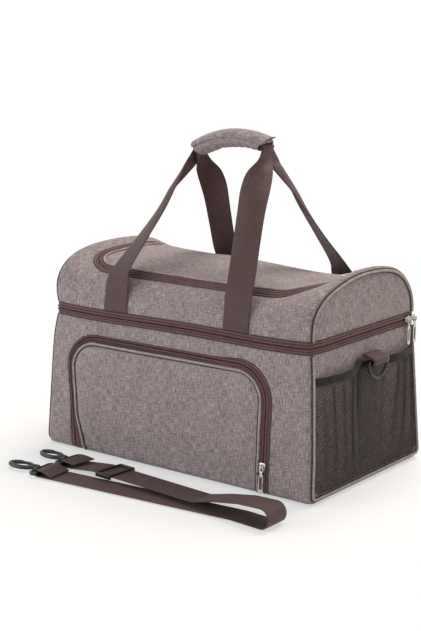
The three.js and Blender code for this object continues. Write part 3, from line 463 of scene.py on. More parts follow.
# Closed-cell polyethylene foam: milky, matt, with fine cells along the cut edge.
cellFoam = {
    "surface": {"Roughness": 0.8, "Specular IOR Level": 0.3},
    "along": "Object", "stops": (0.1, 0.6), "relief": ("alone", 0, 0.25),
    "layers": [{"pattern": "cells", "size": (1.4, 1.4, 1.4)}],
}
# Polyethylene stiffener sheet: black, extruded, faintly grained.
pressedBoard = {
    "surface": {"Roughness": 0.6, "Specular IOR Level": 0.4},
    "along": "Object", "stops": (0.3, 0.7), "relief": ("alone", 0, 0.1),
    "layers": [{"pattern": "noise", "size": (1.6, 1.6, 1.6), "inputs": {"Detail": 3.0}}],
}
# Nickel-plated zinc, die cast and tumbled: warm silver, bright, with faint handling marks.
platedMetal = {
    "surface": {"Metallic": 1.0, "Roughness": 0.24}, "roughest": (0.16, 0.36),
    "along": "Object", "stops": (0.3, 0.65), "relief": ("alone", 0, 0.04),
    "layers": [{"pattern": "noise", "size": (1.2, 1.2, 6), "inputs": {"Detail": 4.0}}],
}
# Black acetal, injection moulded: a clear gloss over a very fine grain.
mouldedPlastic = {
    "surface": {"Roughness": 0.3, "Specular IOR Level": 0.5}, "roughest": (0.24, 0.42),
    "along": "Object", "stops": (0.3, 0.7), "relief": ("alone", 0, 0.03),
    "layers": [{"pattern": "noise", "size": (2.5, 2.5, 2.5), "inputs": {"Detail": 3.0}}],
}


def twistedYarn(size, roughness, specular=0.3):
    # Twisted yarn or thread: one colour that turns lighter and darker along its twist.
    return {"surface": {"Roughness": roughness, "Specular IOR Level": specular},
            "along": "Object", "stops": (0.35, 0.65), "relief": ("alone", 0, size * 0.12),
            "layers": [{"pattern": "noise", "size": (size, size, size), "inputs": {"Detail": 1.0}}]}


canvas = finished("heathered linen-look polyester", linenCloth, "5d5254", "8b7f81", "b7acab")
# The piping and the welts are the canvas's own cloth in lighter colours: a painted highlight on their rounded
# ridges.
pipingCanvasPaintedLit = finished("linen-look polyester piping, painted lighter as a highlight", linenCloth, "736969", "9a8e8d", "b9aeac")
liningCloth = finished("grey polyester pocket lining", linenCloth, "4b4545", "5f5858", "756d6c")
webbing = finished("brown polypropylene webbing", twillWebbing, "33211f", "463130", "5d4342")
zipTape = finished("brown polyester zip tape", zipperTape, "3c2324", "5b393a", "7d5455")
zipCoil = finished("brown nylon zip coil", twistedYarn(2.5, 0.38, 0.5), "4a2829", "754a49")
seamAndShadeThread = finished("dark polyester sewing thread, also for painted shade lines", twistedYarn(1.2, 0.7), "2f2829", "463c3d")
netYarn = finished("black polyester net yarn", twistedYarn(2.0, 0.6), "191615", "332d2b")
elasticBand = finished("black knitted elastic", ribbedElastic, "0f0e0e", "2a2827")
foil = finished("aluminised film lining", foilLining, "85888c", "c3c6ca")
foam = finished("closed-cell polyethylene foam", cellFoam, "c9c6be", "e6e3dc")
board = finished("black polyethylene board", pressedBoard, "1d1d1e", "2f2f30")
nickel = finished("nickel-plated zinc", platedMetal, "a9a49b", "dcd8d0")
acetal = finished("black acetal", mouldedPlastic, "0c0c0d", "1b1b1d")
print("materials made")


# Surfaces of the bag. u runs round the walls from the middle of the rear by the left end, v up them.
wallRun = [half + bag["flare"] / 2 - bag["corner"] for half in (bag["halfLength"], bag["halfDepth"])]
wallRun.append(bag["corner"] * math.pi / 2)
wallAt = np.cumsum([0, wallRun[0], wallRun[2], 2 * wallRun[1], wallRun[2], 2 * wallRun[0], wallRun[2],
                    2 * wallRun[1], wallRun[2], wallRun[0]])
wallX = [0, -1, -1, -1, -1, 1, 1, 1, 1, 0]
wallY = [1, 1, 1, -1, -1, -1, -1, 1, 1, 1]
wallTurn = np.radians([90, 90, 180, 180, 270, 270, 360, 360, 450, 450])


def wallPlace(u):
    # shares of the half length and half depth at a place round the walls, and the wall's turn there
    return [np.interp(u, wallAt, k) for k in (wallX, wallY, wallTurn)]


def wallSurface(u, v, out=0.0, slack=1.0):
    u, v = np.broadcast_arrays(np.asarray(u, float), np.asarray(v, float))
    z, drawn = baseRound(v)
    sx, sy, turn = wallPlace(u)
    halfX = bag["halfLength"] + flareAt(z) - bag["baseEdgeEnd"] * drawn
    halfY = bag["halfDepth"] + flareAt(z) - bag["baseEdge"] * drawn
    long = np.abs(np.sin(turn)) ** 4
    seam = np.clip(z / bag["fadeBase"], 0, 1) * np.clip((bag["shellTop"] - z) / bag["fadeZip"], 0, 1)
    swell = slack * bag["belly"] * long * (1 - np.abs(sx) ** 5) * seam
    x = sx * (halfX - bag["corner"]) + bag["corner"] * np.cos(turn)
    y = sy * (halfY - bag["corner"]) + bag["corner"] * np.sin(turn)
    if slack:
        flat = np.stack([x, y, z], -1).reshape(-1, 3)
        slow = ripple(flat, 85, 1.0) + 0.45 * ripple(flat * [1, 1, 1.6], 34, 2.0)
        swell = swell + (slack * bag["waves"] * (0.15 + 0.85 * long) * seam) * slow.reshape(x.shape)
    lift = swell + out
    return np.stack([x + lift * np.cos(turn), y + lift * np.sin(turn), z], -1)


def frontParam(x, z):
    reach = bag["halfLength"] + flareAt(np.asarray(z, float)) - bag["corner"]
    return wallAt[4] + (np.asarray(x, float) / reach + 1) * wallRun[0]


def frontPoint(line, out=0.0):
    return wallSurface(frontParam(line[:, 0], line[:, 1]), line[:, 1], out)


def riseAt(x):
    share = np.clip(np.abs(x) / bag["halfLength"], 0, 1)
    end = np.where(np.asarray(x) < 0, bag["riseLeft"], bag["riseRight"])
    return bag["riseMiddle"] + (end - bag["riseMiddle"]) * share ** bag["sagPower"]


def archShape(turn):
    # the dome's outline at a turn from its front foot, as shares of its half depth and its rise
    across, up = np.cos(turn), np.sin(turn)
    return -np.sign(across) * np.abs(across) ** (2 / bag["domePower"]), np.abs(up) ** (2 / bag["domePower"])


archTurn = np.linspace(0, math.pi, 721)
archY, archUp = archShape(archTurn)
archY = archY * bag["halfDepth"]
archAt = distances(np.stack([archY, archUp * bag["riseMean"]], 1))
archEnd = archAt[-1]
domeRound = bag["corner"] * math.pi / 2
domeReach = bag["halfLength"] - bag["corner"] + domeRound


def domeBare(x, s, inset=0.0):
    # x past the flat of the top goes round the end's edge; s is cloth from the front foot over the top
    x, s = np.broadcast_arrays(np.asarray(x, float), np.asarray(s, float))
    past = np.clip((np.abs(x) - bag["halfLength"] + bag["corner"]) / bag["corner"], 0, math.pi / 2)
    straight = np.minimum(np.abs(x), bag["halfLength"] - bag["corner"])
    at = np.sign(x) * (straight + bag["corner"] * np.sin(past))
    shrink = bag["corner"] * (1 - np.cos(past)) + inset
    across, up = archShape(np.interp(s, archAt, archTurn))
    z = bag["archFoot"] + (riseAt(at) - shrink) * up
    z = z + np.where(s < 0, s, 0) + np.where(s > archEnd, archEnd - s, 0)
    return np.stack([at, across * (bag["halfDepth"] - shrink), z], -1)


def domeOut(x, s):
    step = 0.5
    dx = domeBare(x + step, s) - domeBare(x - step, s)
    low, high = np.clip(s - step, 0, archEnd), np.clip(s + step, 0, archEnd)
    return unit(np.cross(dx, domeBare(x, high) - domeBare(x, low)))


def domeSurface(x, s, out=0.0, slack=1.0):
    x, s = np.broadcast_arrays(np.asarray(x, float), np.asarray(s, float))
    at = domeBare(x, s)
    lift = np.broadcast_to(np.asarray(out, float), x.shape)
    if slack:
        flat = at.reshape(-1, 3)
        foot = np.clip(np.minimum(s, archEnd - s) / bag["fadeFoot"], 0, 1)
        foot = foot * np.clip((domeReach - np.abs(x)) / bag["fadeEnd"], 0, 1)
        slow = ripple(flat, 80, 3.0) + 0.5 * ripple(flat, 33, 4.0)
        lift = lift + slack * bag["waves"] * foot * slow.reshape(x.shape)
    return at + lift[..., None] * domeOut(x, s)


def clothAt(y):
    return np.interp(y, archY, archAt)


def topPoint(line, out=0.0, slack=1.0):
    return domeSurface(line[:, 0], clothAt(line[:, 1]), out, slack)


pocket = {
    "right": 158.0, "left": 183.0, "leftFoot": 173.0, "top": 171.0, "foot": 18.0, "corner": 52.0,
    "zip": 15.0, "puff": 3.0, "puffLeft": 5.0, "welt": 1.8, "seamFoot": 9.0, "drift": 6.0,
    "hood": 3.6, "hoodLift": 2.1,    # how far the shell laps over the zip at its top and left, and how high
    "groove": 3.3, "steps": (26, 20, 56, 20, 26),
}
flap = {
    "half": 184.0, "front": 100.0, "back": 58.0, "corner": 46.0, "zip": 13.0, "puff": 1.8, "welt": 1.6,
    "hem": 0.3, "held": 7.0, "groove": 2.9, "fill": 0.35, "steps": (30, 18, 70, 18, 30),
}
edgeStep = 3.5       # between the points of a sewn edge
clothStep = 4.5      # and inside the cloth of the dome and the panels


def pocketLine(inset, foot=None):
    # the pocket's inverted U in x and z, drawn in by inset, from its left foot to its right one
    foot = pocket["foot"] if foot is None else foot
    radius, right, top = pocket["corner"] - inset, pocket["right"] - inset, pocket["top"] - inset
    shoulder = pocket["top"] - pocket["corner"]
    slope = (pocket["left"] - pocket["leftFoot"]) / (shoulder - pocket["foot"])
    left = inset - pocket["left"]
    up, bend, over, _, down = (count + 1 for count in pocket["steps"])
    turn = np.linspace(0, math.pi / 2, bend)
    legs = [
        np.stack([left + slope * np.linspace(shoulder - foot, 0, up), np.linspace(foot, shoulder, up)], 1),
        np.stack([left + radius * (1 - np.cos(turn)), shoulder + radius * np.sin(turn)], 1),
        np.stack([np.linspace(left + radius, right - radius, over), np.full(over, top)], 1),
        np.stack([right - radius * (1 - np.sin(turn)), shoulder + radius * np.cos(turn)], 1),
        np.stack([np.full(down, right), np.linspace(shoulder, foot, down)], 1),
    ]
    return np.vstack([legs[0], *(leg[1:] for leg in legs[1:])])


def pocketInner(inset):
    # the sewn edge of the panel, which drifts in from the zip on the left on its way to the base seam
    line = pocketLine(inset, pocket["seamFoot"])
    drift = pocket["drift"] * np.clip((60 - line[:, 1]) / 51, 0, 1) ** 1.6 * (line[:, 0] < 0)
    return line + np.stack([drift, 0 * drift], 1)


def pocketHood():
    # the hole in the shell, and how much of the hood there is at each of its points
    wide, narrow = (pocketLine(inset, pocket["seamFoot"]) for inset in (0.0, pocket["hood"]))
    high = np.clip((wide[:, 1] - 135) / 30, 0, 1) * np.clip((130 - wide[:, 0]) / 60, 0, 1)
    left = np.clip((-wide[:, 0] - 120) / 40, 0, 1) * np.clip((wide[:, 1] - 20) / 40, 0, 1)
    share = np.maximum(high, left)
    return wide + (narrow - wide) * share[:, None], share


def flapLine(inset, back):
    # the flap's outline in plan, from the left end of its hinge round the front to the right end
    half, front, radius = flap["half"] - inset, inset - flap["front"], flap["corner"] - inset
    up, bend, over, _, down = (count + 1 for count in flap["steps"])
    turn = np.linspace(0, math.pi / 2, bend)
    legs = [
        np.stack([np.full(up, -half), np.linspace(back, front + radius, up)], 1),
        np.stack([radius - half - radius * np.cos(turn), front + radius - radius * np.sin(turn)], 1),
        np.stack([np.linspace(radius - half, half - radius, over), np.full(over, front)], 1),
        np.stack([half - radius + radius * np.sin(turn), front + radius - radius * np.cos(turn)], 1),
        np.stack([np.full(down, half), np.linspace(front + radius, back, down)], 1),
    ]
    return np.vstack([legs[0], *(leg[1:] for leg in legs[1:])])


def pocketCloth(line):
    return np.stack([frontParam(line[:, 0], line[:, 1]), line[:, 1]], 1)


def flapCloth(line):
    return np.stack([line[:, 0], clothAt(line[:, 1])], 1)


# Lower shell: one cloth round the walls, cut out for the pocket, with its base
shellStep = 5.0
wallEnd = wallAt[-1]
hoodLine, hoodShare = pocketHood()
hoodEdge = pocketCloth(hoodLine)


def hoodOut(a, b):
    flat = np.stack([a, b], -1)
    nearest = np.array([np.argmin(np.sum((hoodEdge - p) ** 2, 1)) for p in flat])
    away = np.linalg.norm(flat - hoodEdge[nearest], axis=1)
    return pocket["hoodLift"] * hoodShare[nearest] * np.exp(-(away / 9) ** 2)


walls = clothRegion("lowerShell", rectangle(0, wallEnd, 0, bag["shellTop"], shellStep),
                    [resample(hoodEdge, edgeStep, closed=True)], shellStep,
                    lambda a, b: wallSurface(a, b, hoodOut(a, b)), canvas, 0, weld=True)
foot = wallSurface(np.linspace(0, wallEnd, 260, endpoint=False), 0.0, slack=0)[:, :2] * [1, -1]
base = clothRegion("base", foot, [], 12, lambda a, b: np.stack([a, -b, 0 * a], -1), canvas, 0)
lowerShell = thickened(faceOutwards(joined("lowerShell", [walls, base]), 0.4), bag["cloth"])
fitted(lowerShell, "canvas", "bag_base", "lower_shell")


def puffed(line, height, reach):
    # how far a panel swells at each point: nothing on its border, its full height further in
    def lift(a, b):
        away = np.sqrt(nearness(np.stack([a, b], -1), line))
        return height * (1 - np.exp(-away / reach))
    return lift


panelLine = pocketInner(pocket["zip"])
panelSwell = puffed(resample(pocketCloth(panelLine), 2.0), 1.0, 4)


def panelOut(a, b):
    # fuller on the left, where the panel leans over its zip, and flat again at the base seam
    left = np.clip((frontParam(60, 100) - a) / 150, 0, 1)
    foot = np.clip((b - pocket["seamFoot"]) / 45, 0, 1)
    return panelSwell(a, b) * (pocket["puff"] + pocket["puffLeft"] * left) * foot


panelEdge = resample(pocketCloth(panelLine), edgeStep, closed=True)
pocketPanel = clothRegion("pocketPanel", panelEdge, [], clothStep,
                          lambda a, b: wallSurface(a, b, panelOut(a, b)), canvas, bag["cloth"])
pocketFold = {"to": "pocket_panel", "start": (0, -0.1335, 0.014), "end": (0, -0.1325, 0.036)}
fitted(pocketPanel, "canvas", "bag_base", "pocket_panel", fold=pocketFold)

# Dome: its cloth runs over the top and round the end edges, and a flat cloth closes each end
domeHem = 0.7
flapHole = resample(flapCloth(flapLine(0, flap["back"])), edgeStep, closed=True)
domeTop = clothRegion("domeTop", rectangle(-domeReach, domeReach, -domeHem, archEnd + domeHem, clothStep),
                      [flapHole], clothStep, domeSurface, canvas, bag["cloth"])


def archLoop(inset, rise, low):
    y, up = archShape(np.linspace(0, math.pi, 90))
    y = y * (bag["halfDepth"] - inset)
    z = bag["archFoot"] + (rise - inset) * up
    return resample(np.vstack([[y[0], low], np.stack([y, z], 1), [y[-1], low]]), 5, closed=True)


domeEnds = []
for side in (1, -1):
    endLoop = archLoop(bag["corner"], riseAt(side * bag["halfLength"]), bag["zipTop"] + 0.3)
    endSwell = puffed(endLoop, 3.0, 26)
    domeEnds.append(clothRegion(
        "domeEnd", endLoop, [], 7,
        lambda a, b: np.stack([side * (bag["halfLength"] + endSwell(a, b)), side * a, b], -1),
        canvas, bag["cloth"]))
domeShell = joined("domeShell", [domeTop, *domeEnds])
fitted(domeShell, "canvas", "lid", "dome_shell")

# Top flap, padded, so it stands proud of its zip
flapEdge = resample(flapCloth(flapLine(flap["zip"], flap["back"] - flap["hem"])), edgeStep, closed=True)
flapSwell = puffed(flapEdge[flapEdge[:, 1] < clothAt(flap["back"] - 4)], flap["puff"], 14)
topFlap = clothRegion("topFlap", flapEdge, [], clothStep,
                      lambda a, b: domeSurface(a, b, flapSwell(a, b)), canvas, bag["cloth"])
sewnTo = topPoint(np.stack([flapEdge[:, 0], np.interp(flapEdge[:, 1], archAt, archY)], 1), 0, 0)
flapHeld = nearness(pointsOf(topFlap) / mm, sewnTo) < flap["held"] ** 2
swollen(topFlap, flapHeld, padding["flapCap"], padding["pressure"])
flapFold = {"to": "top_flap", "start": (0, 0.061, 0.2686), "end": (0, 0.040, 0.2686)}
fitted(topFlap, "canvas", "lid", "top_flap", fold=flapFold)
print("cloth of the body made")


# Zips. Half a zip is its tape with the coil under a rolled edge: (share of the tape's width, height).
zipProfile = [(0.0, 0.1), (0.12, 0.55), (0.25, 0.75), (0.38, 0.45), (0.46, -0.1), (0.52, 0.5), (0.6, 1.35),
              (0.7, 1.8), (0.82, 1.8), (0.92, 1.2), (0.97, 0.2), (1.0, -0.9)]
zipEdge = {"sewn": 0.2, "gap": 0.25, "coilUp": 1.75, "coilIn": 1.9, "flapCoilIn": 1.6,
           "seam": 0.6, "groove": 0.45, "grooveUp": 0.3}


def halfZip(name, place, near, far, body, node, flip=False, fold=None):
    # place(across, height) gives the points along the zip; near is the tape's seam and far its coil
    rows = [place(near + (far - near) * share, height) for share, height in zipProfile]
    tape = ribbon(name, np.stack(rows[::-1] if flip else rows, 1), zipTape, 1.0)
    fitted(tape, "zip_tape", body, node, fold=fold)


def growTree(name, sockets):
    tree = bpy.data.node_groups.new(name, "GeometryNodeTree")
    tree.interface.new_socket("Geometry", in_out="OUTPUT", socket_type="NodeSocketGeometry")
    tree.interface.new_socket("Geometry", in_out="INPUT", socket_type="NodeSocketGeometry")
    for label, kind in sockets.items():
        tree.interface.new_socket(label, in_out="INPUT", socket_type=f"NodeSocket{kind}")
    return tree, addNode(tree, "NodeGroupInput"), addNode(tree, "NodeGroupOutput")


def grown(route, tree, name, **values):
    # runs a tree on a route or a net of edges and keeps what it makes as a plain mesh
    modifier = route.modifiers.new("grow", "NODES")
    modifier.node_group = tree
    identifiers = {s.name: s.identifier for s in tree.interface.items_tree
                   if s.item_type == "SOCKET" and s.in_out == "INPUT"}
    for label, value in values.items():
        modifier[identifiers[label]] = value
    data = finalMesh(route)
    data.name = name
    bpy.data.objects.remove(route)
    return newPiece(name, data)


def repeatTree():
    # small rounded bars along a route, such as coil turns or stitches
    tree, start, end = growTree("Bars along a route", {
        "Spacing": "Float", "Length": "Float", "Width": "Float", "Height": "Float", "Lift": "Float",
        "Uneven": "Float", "Seed": "Int", "Material": "Material"})
    curve = addNode(tree, "GeometryNodeMeshToCurve", links={"Mesh": start.outputs["Geometry"]})
    spaced = addNode(tree, "GeometryNodeResampleCurve", {"mode": "LENGTH"},
                     links={"Curve": curve.outputs["Curve"], "Length": start.outputs["Spacing"]})
    along = addNode(tree, "GeometryNodeInputTangent")
    facing = addNode(tree, "GeometryNodeInputNamedAttribute", {"data_type": "FLOAT_VECTOR"},
                     {"Name": "outwards"})
    upwards = addNode(tree, "ShaderNodeVectorMath", {"operation": "SCALE"},
                      links={"Vector": facing.outputs["Attribute"], "Scale": start.outputs["Lift"]})
    lifted = addNode(tree, "GeometryNodeSetPosition",
                     links={"Geometry": spaced.outputs["Curve"], "Offset": upwards.outputs["Vector"]})
    turn = addNode(tree, "FunctionNodeAxesToRotation", {"primary_axis": "X", "secondary_axis": "Z"},
                   links={"Primary Axis": along.outputs["Tangent"],
                          "Secondary Axis": facing.outputs["Attribute"]})
    bar = addNode(tree, "GeometryNodeMeshIcoSphere", inputs={"Radius": 0.5, "Subdivisions": 1})
    size = addNode(tree, "ShaderNodeCombineXYZ", links={
        "X": start.outputs["Length"], "Y": start.outputs["Width"], "Z": start.outputs["Height"]})
    chance = addNode(tree, "FunctionNodeRandomValue", {"data_type": "FLOAT"}, {"Max": 1.0},
                     {"Min": start.outputs["Uneven"], "Seed": start.outputs["Seed"]})
    scale = addNode(tree, "ShaderNodeVectorMath", {"operation": "SCALE"},
                    links={"Vector": size.outputs["Vector"], "Scale": chance.outputs[1]})
    bars = addNode(tree, "GeometryNodeInstanceOnPoints", links={
        "Points": lifted.outputs["Geometry"], "Instance": bar.outputs["Mesh"],
        "Rotation": turn.outputs["Rotation"], "Scale": scale.outputs["Vector"]})
    real = addNode(tree, "GeometryNodeRealizeInstances", links={"Geometry": bars.outputs["Instances"]})
    soft = addNode(tree, "GeometryNodeSetShadeSmooth", links={"Geometry": real.outputs["Geometry"]})
    painted = addNode(tree, "GeometryNodeSetMaterial",
                      links={"Geometry": soft.outputs["Geometry"], "Material": start.outputs["Material"]})
    tree.links.new(painted.outputs["Geometry"], end.inputs["Geometry"])
    return tree


def yarnTree():
    # every edge of a line or a net becomes a round yarn
    tree, start, end = growTree("Yarns on edges", {
        "Thickness": "Float", "Sides": "Int", "Material": "Material"})
    curve = addNode(tree, "GeometryNodeMeshToCurve", links={"Mesh": start.outputs["Geometry"]})
    half = addNode(tree, "ShaderNodeMath", {"operation": "MULTIPLY"}, {1: 0.5},
                   {0: start.outputs["Thickness"]})
    circle = addNode(tree, "GeometryNodeCurvePrimitiveCircle",
                     links={"Radius": half.outputs["Value"], "Resolution": start.outputs["Sides"]})
    yarn = addNode(tree, "GeometryNodeCurveToMesh",
                   links={"Curve": curve.outputs["Curve"], "Profile Curve": circle.outputs["Curve"]})
    soft = addNode(tree, "GeometryNodeSetShadeSmooth", links={"Geometry": yarn.outputs["Mesh"]})
    real = addNode(tree, "GeometryNodeRealizeInstances", links={"Geometry": soft.outputs["Geometry"]})
    painted = addNode(tree, "GeometryNodeSetMaterial",
                      links={"Geometry": real.outputs["Geometry"], "Material": start.outputs["Material"]})
    tree.links.new(painted.outputs["Geometry"], end.inputs["Geometry"])
    return tree


barsAlong = repeatTree()
yarnsOn = yarnTree()
coil = {"Spacing": 1.9, "Length": 0.95, "Width": 2.6, "Height": 0.75, "Lift": -0.05}
stitch = {"Spacing": 3.4, "Length": 2.6, "Width": 0.75, "Height": 0.5, "Lift": 0.15}


def barsOn(name, points, outwards, sizes, material, uneven=1.0, seed=1):
    # a route is a line of edges that knows which way is out at each of its points
    data = bpy.data.meshes.new("route")
    data.from_pydata((np.asarray(points) * mm).tolist(), [(i, i + 1) for i in range(len(points) - 1)], [])
    facing = data.attributes.new("outwards", "FLOAT_VECTOR", "POINT")
    facing.data.foreach_set("vector", unit(np.asarray(outwards, float)).astype(np.float32).ravel())
    return grown(newPiece("route", data), barsAlong, name, Uneven=uneven, Seed=seed, Material=material,
                 **{label: size * mm for label, size in sizes.items()})


def seamAndShadeLine(name, points, radius, body, fold=None):
    # a dark line of thread: used for real seams and for painted shade in creases and grooves
    fitted(tube(name, points, radius, 6, seamAndShadeThread), None, body, fold=fold)


# Big zip round the front and both ends, a little way on behind the rear corners
bigZip = {"behind": 28.0, "points": 330, "seam": 0.65, "seamOut": 0.2, "groove": 0.5, "grooveIn": 3.5}
returnX = bag["halfLength"] - bigZip["behind"]
returnRun = (returnX / (bag["halfLength"] - bag["corner"])) * wallRun[0]
zipU = np.linspace(wallAt[0] + returnRun, wallEnd - returnRun, bigZip["points"])


def ringAt(u, z, height=0.0):
    sx, sy, turn = wallPlace(u)
    r = bag["corner"]
    x = sx * (bag["halfLength"] - r) + (r + height) * np.cos(turn)
    y = sy * (bag["halfDepth"] - r) + (r + height) * np.sin(turn)
    return np.stack([x, y, np.broadcast_to(z, x.shape)], -1)


def ringOut(u):
    turn = wallPlace(u)[2]
    return np.stack([np.cos(turn), np.sin(turn), 0 * turn], -1)


storeys = (("Lower", bag["shellTop"], 1, "bag_base"), ("Upper", bag["zipTop"], -1, "lid"))
for label, edge, up, body in storeys:
    halfZip(f"bigZip{label}", lambda a, h: ringAt(zipU, a, h), edge + zipEdge["sewn"],
            bag["split"] - up * zipEdge["gap"], body, f"perimeter_tape_{label.lower()}", flip=up < 0)
# Dark thread lines: a seam at each tape's sewn edge, and painted shade in the groove along each tape
for name, z, height, radius, body in (
        ("LowerSeam", bag["shellTop"] - 0.1, bigZip["seamOut"], bigZip["seam"], "bag_base"),
        ("LowerGrooveShade", bag["shellTop"] + bigZip["grooveIn"], zipEdge["grooveUp"], bigZip["groove"],
         "bag_base"),
        ("UpperGrooveShade", bag["zipTop"] - bigZip["grooveIn"], zipEdge["grooveUp"], bigZip["groove"], "lid"),
        ("UpperSeam", bag["zipTop"] + 0.5, bigZip["seamOut"], bigZip["seam"], "lid")):
    seamAndShadeLine(f"bigZip{name}", ringAt(zipU, z, height), radius, body)
for label, _, up, body in storeys:
    line = ringAt(zipU, bag["split"] - up * zipEdge["coilIn"], zipEdge["coilUp"])
    fitted(barsOn(f"bigZip{label}Coil", line, ringOut(zipU), coil, zipCoil), "zip_tape", body)


# Pocket zip
def onPocket(inset, height, foot=None):
    return frontPoint(pocketLine(inset, foot), height)


def onPanel(inset, height):
    line = pocketInner(inset)
    left = np.clip((100 - line[:, 0]) / 200, 0, 1) * np.clip((line[:, 1] - pocket["seamFoot"]) / 45, 0, 1)
    return frontPoint(line, height + pocket["puffLeft"] * 0.75 * left)


pocketMeet = pocket["zip"] / 2


def onInner(inset, height):
    # the inner tape's coil runs beside the outer one and its sewn edge follows the panel
    share = np.clip((inset - pocketMeet) / pocketMeet, 0, 1)
    line = pocketLine(inset, pocket["seamFoot"]) * (1 - share) + pocketInner(inset) * share
    return frontPoint(line, height)


halfZip("pocketZipOuter", lambda a, h: onPocket(a, h, pocket["seamFoot"]), zipEdge["sewn"],
        pocketMeet - zipEdge["gap"], "bag_base", "pocket_tape_outer", flip=True)
halfZip("pocketZipInner", onInner, pocket["zip"] - zipEdge["sewn"], pocketMeet + zipEdge["gap"],
        "bag_base", "pocket_tape_inner", fold=pocketFold)
for label, side, fold in (("Outer", -1, None), ("Inner", 1, pocketFold)):
    line = onPocket(pocketMeet + side * zipEdge["coilIn"], zipEdge["coilUp"], pocket["seamFoot"])
    outwards = np.broadcast_to([0.0, -1.0, 0.05], line.shape)
    coilBars = barsOn(f"pocketZip{label}Coil", line, outwards, coil, zipCoil)
    fitted(coilBars, "zip_tape", "bag_base", fold=fold)
# The welt's lighter cloth is a painted highlight; the dark lines beside it are its stitching and painted
# shade in the creases along it.
welt = tube("pocketWelt", onPanel(pocket["zip"] + 0.7, 1.0), pocket["welt"], 10, pipingCanvasPaintedLit)
fitted(welt, "canvas", "bag_base", fold=pocketFold)
seamAndShadeLine("pocketWeltSeamShadeInner", onPanel(pocket["zip"] + 3.3, 1.5), zipEdge["seam"], "bag_base", pocketFold)
seamAndShadeLine("pocketWeltSeamShadeOuter", onPanel(pocket["zip"] - 1.3, 0.6), zipEdge["seam"], "bag_base", pocketFold)
seamAndShadeLine("pocketOuterSeam", frontPoint(hoodLine, 0.1 + 1.3 * hoodShare), zipEdge["seam"], "bag_base")
# the dark lines in the tapes' grooves are painted shade
for part, inset, fold in (("Outer", pocket["groove"], None),
                          ("Inner", pocket["zip"] - pocket["groove"], pocketFold)):
    line = onPocket(inset, zipEdge["grooveUp"])
    seamAndShadeLine(f"pocket{part}GrooveShade", line, zipEdge["groove"], "bag_base", fold)


# Flap zip
def onFlap(inset, height):
    return topPoint(flapLine(inset, flap["back"] - flap["hem"]), height)


flapMeet = flap["zip"] / 2
halfZip("flapZipOuter", onFlap, zipEdge["sewn"], flapMeet - zipEdge["gap"], "lid", "flap_tape_outer")
halfZip("flapZipInner", onFlap, flap["zip"] - zipEdge["sewn"], flapMeet + zipEdge["gap"],
        "lid", "flap_tape_inner", flip=True, fold=flapFold)
for label, side, fold in (("Outer", -1, None), ("Inner", 1, flapFold)):
    inset = flapMeet + side * zipEdge["flapCoilIn"]
    line = flapLine(inset, flap["back"] - flap["hem"])
    outwards = domeOut(line[:, 0], clothAt(line[:, 1]))
    coilBars = barsOn(f"flapZip{label}Coil", onFlap(inset, zipEdge["coilUp"]), outwards, coil, zipCoil)
    fitted(coilBars, "zip_tape", "lid", fold=fold)
# The welt's lighter cloth is a painted highlight; the dark line beside it, under the flap's lip, is its
# stitching and painted shade there.
welt = tube("flapWelt", onFlap(flap["zip"] + 0.9, 1.3), flap["welt"], 10, pipingCanvasPaintedLit)
fitted(welt, "canvas", "lid", fold=flapFold)
seamAndShadeLine("flapWeltSeamShade", onFlap(flap["zip"] - 0.4, 0.7), 0.5, "lid", flapFold)
seamAndShadeLine("flapOuterSeam", onFlap(-0.2, 0.2), zipEdge["seam"], "lid")
# the dark lines in the tapes' grooves are painted shade
for part, inset, fold in (("Outer", flap["groove"], None), ("Inner", flap["zip"] - flap["groove"], flapFold)):
    seamAndShadeLine(f"flap{part}GrooveShade", onFlap(inset, zipEdge["grooveUp"]), zipEdge["groove"], "lid", fold)
print("zips made")


# Handles: each is one webbing, sewn up the dome, up one leg, through the grip and down the other leg
handle = {
    "span": 200.0, "width": 40.0, "thickness": 1.6, "lift": 0.5, "gripHeight": 433.0, "gripLength": 108.0,
    "crown": 10.0, "tilt": 7.5, "gripWidth": 26.0, "pitch": 2.4, "bend": 1.4, "arrival": 1.5,
    "sewnFrom": 0.6, "sewnTurn": 11.25, "hollow": 6.0, "points": 260,
    # share of the way up, across and in, the turn of a leg that twists early and of one that twists late,
    # and the width there
    "legs": [(0.0045, 0, 0, 0, 0, 40), (0.13, 0, 0.03, 6, 3, 40), (0.22, 0.05, 0.1, 20, 5, 40),
             (0.4, 0.33, 0.3, 33, 5, 40), (0.6, 0.64, 0.52, 42, 8, 40), (0.73, 0.81, 0.66, 52, 18, 39.5),
             (0.84, 0.94, 0.8, 68, 42, 35), (0.93, 1, 0.92, 90, 88, 28)],
}
grip = {
    "depth": 34.0, "thickness": 23.0, "mouthTilt": 37.0, "slim": 0.35, "mouthSlim": 0.9, "puckers": 1.3,
    "slack": 0.5, "knot": 2.2, "knotAt": -19.0, "mouthIn": 59.0, "round": 14.0, "fill": 0.7,
    # the flap: height of its root, turns round the grip between which it lies, and its slanting ends
    "root": 425.2, "flapFrom": 22.0, "flapTo": 165.0, "slantTo": 80.0, "slant": 17.0, "slantRoot": 2.0,
    "overhang": 4.5, "flapLength": 112.0, "hemTurn": 16.0, "curl": 1.6,
}


def gripHeightAt(x):
    share = np.asarray(x, float) / (handle["gripLength"] / 2)
    return handle["gripHeight"] + handle["tilt"] * share - handle["crown"] * share * share


rootAt = float(np.interp(math.radians(handle["sewnTurn"]), archTurn, archAt))


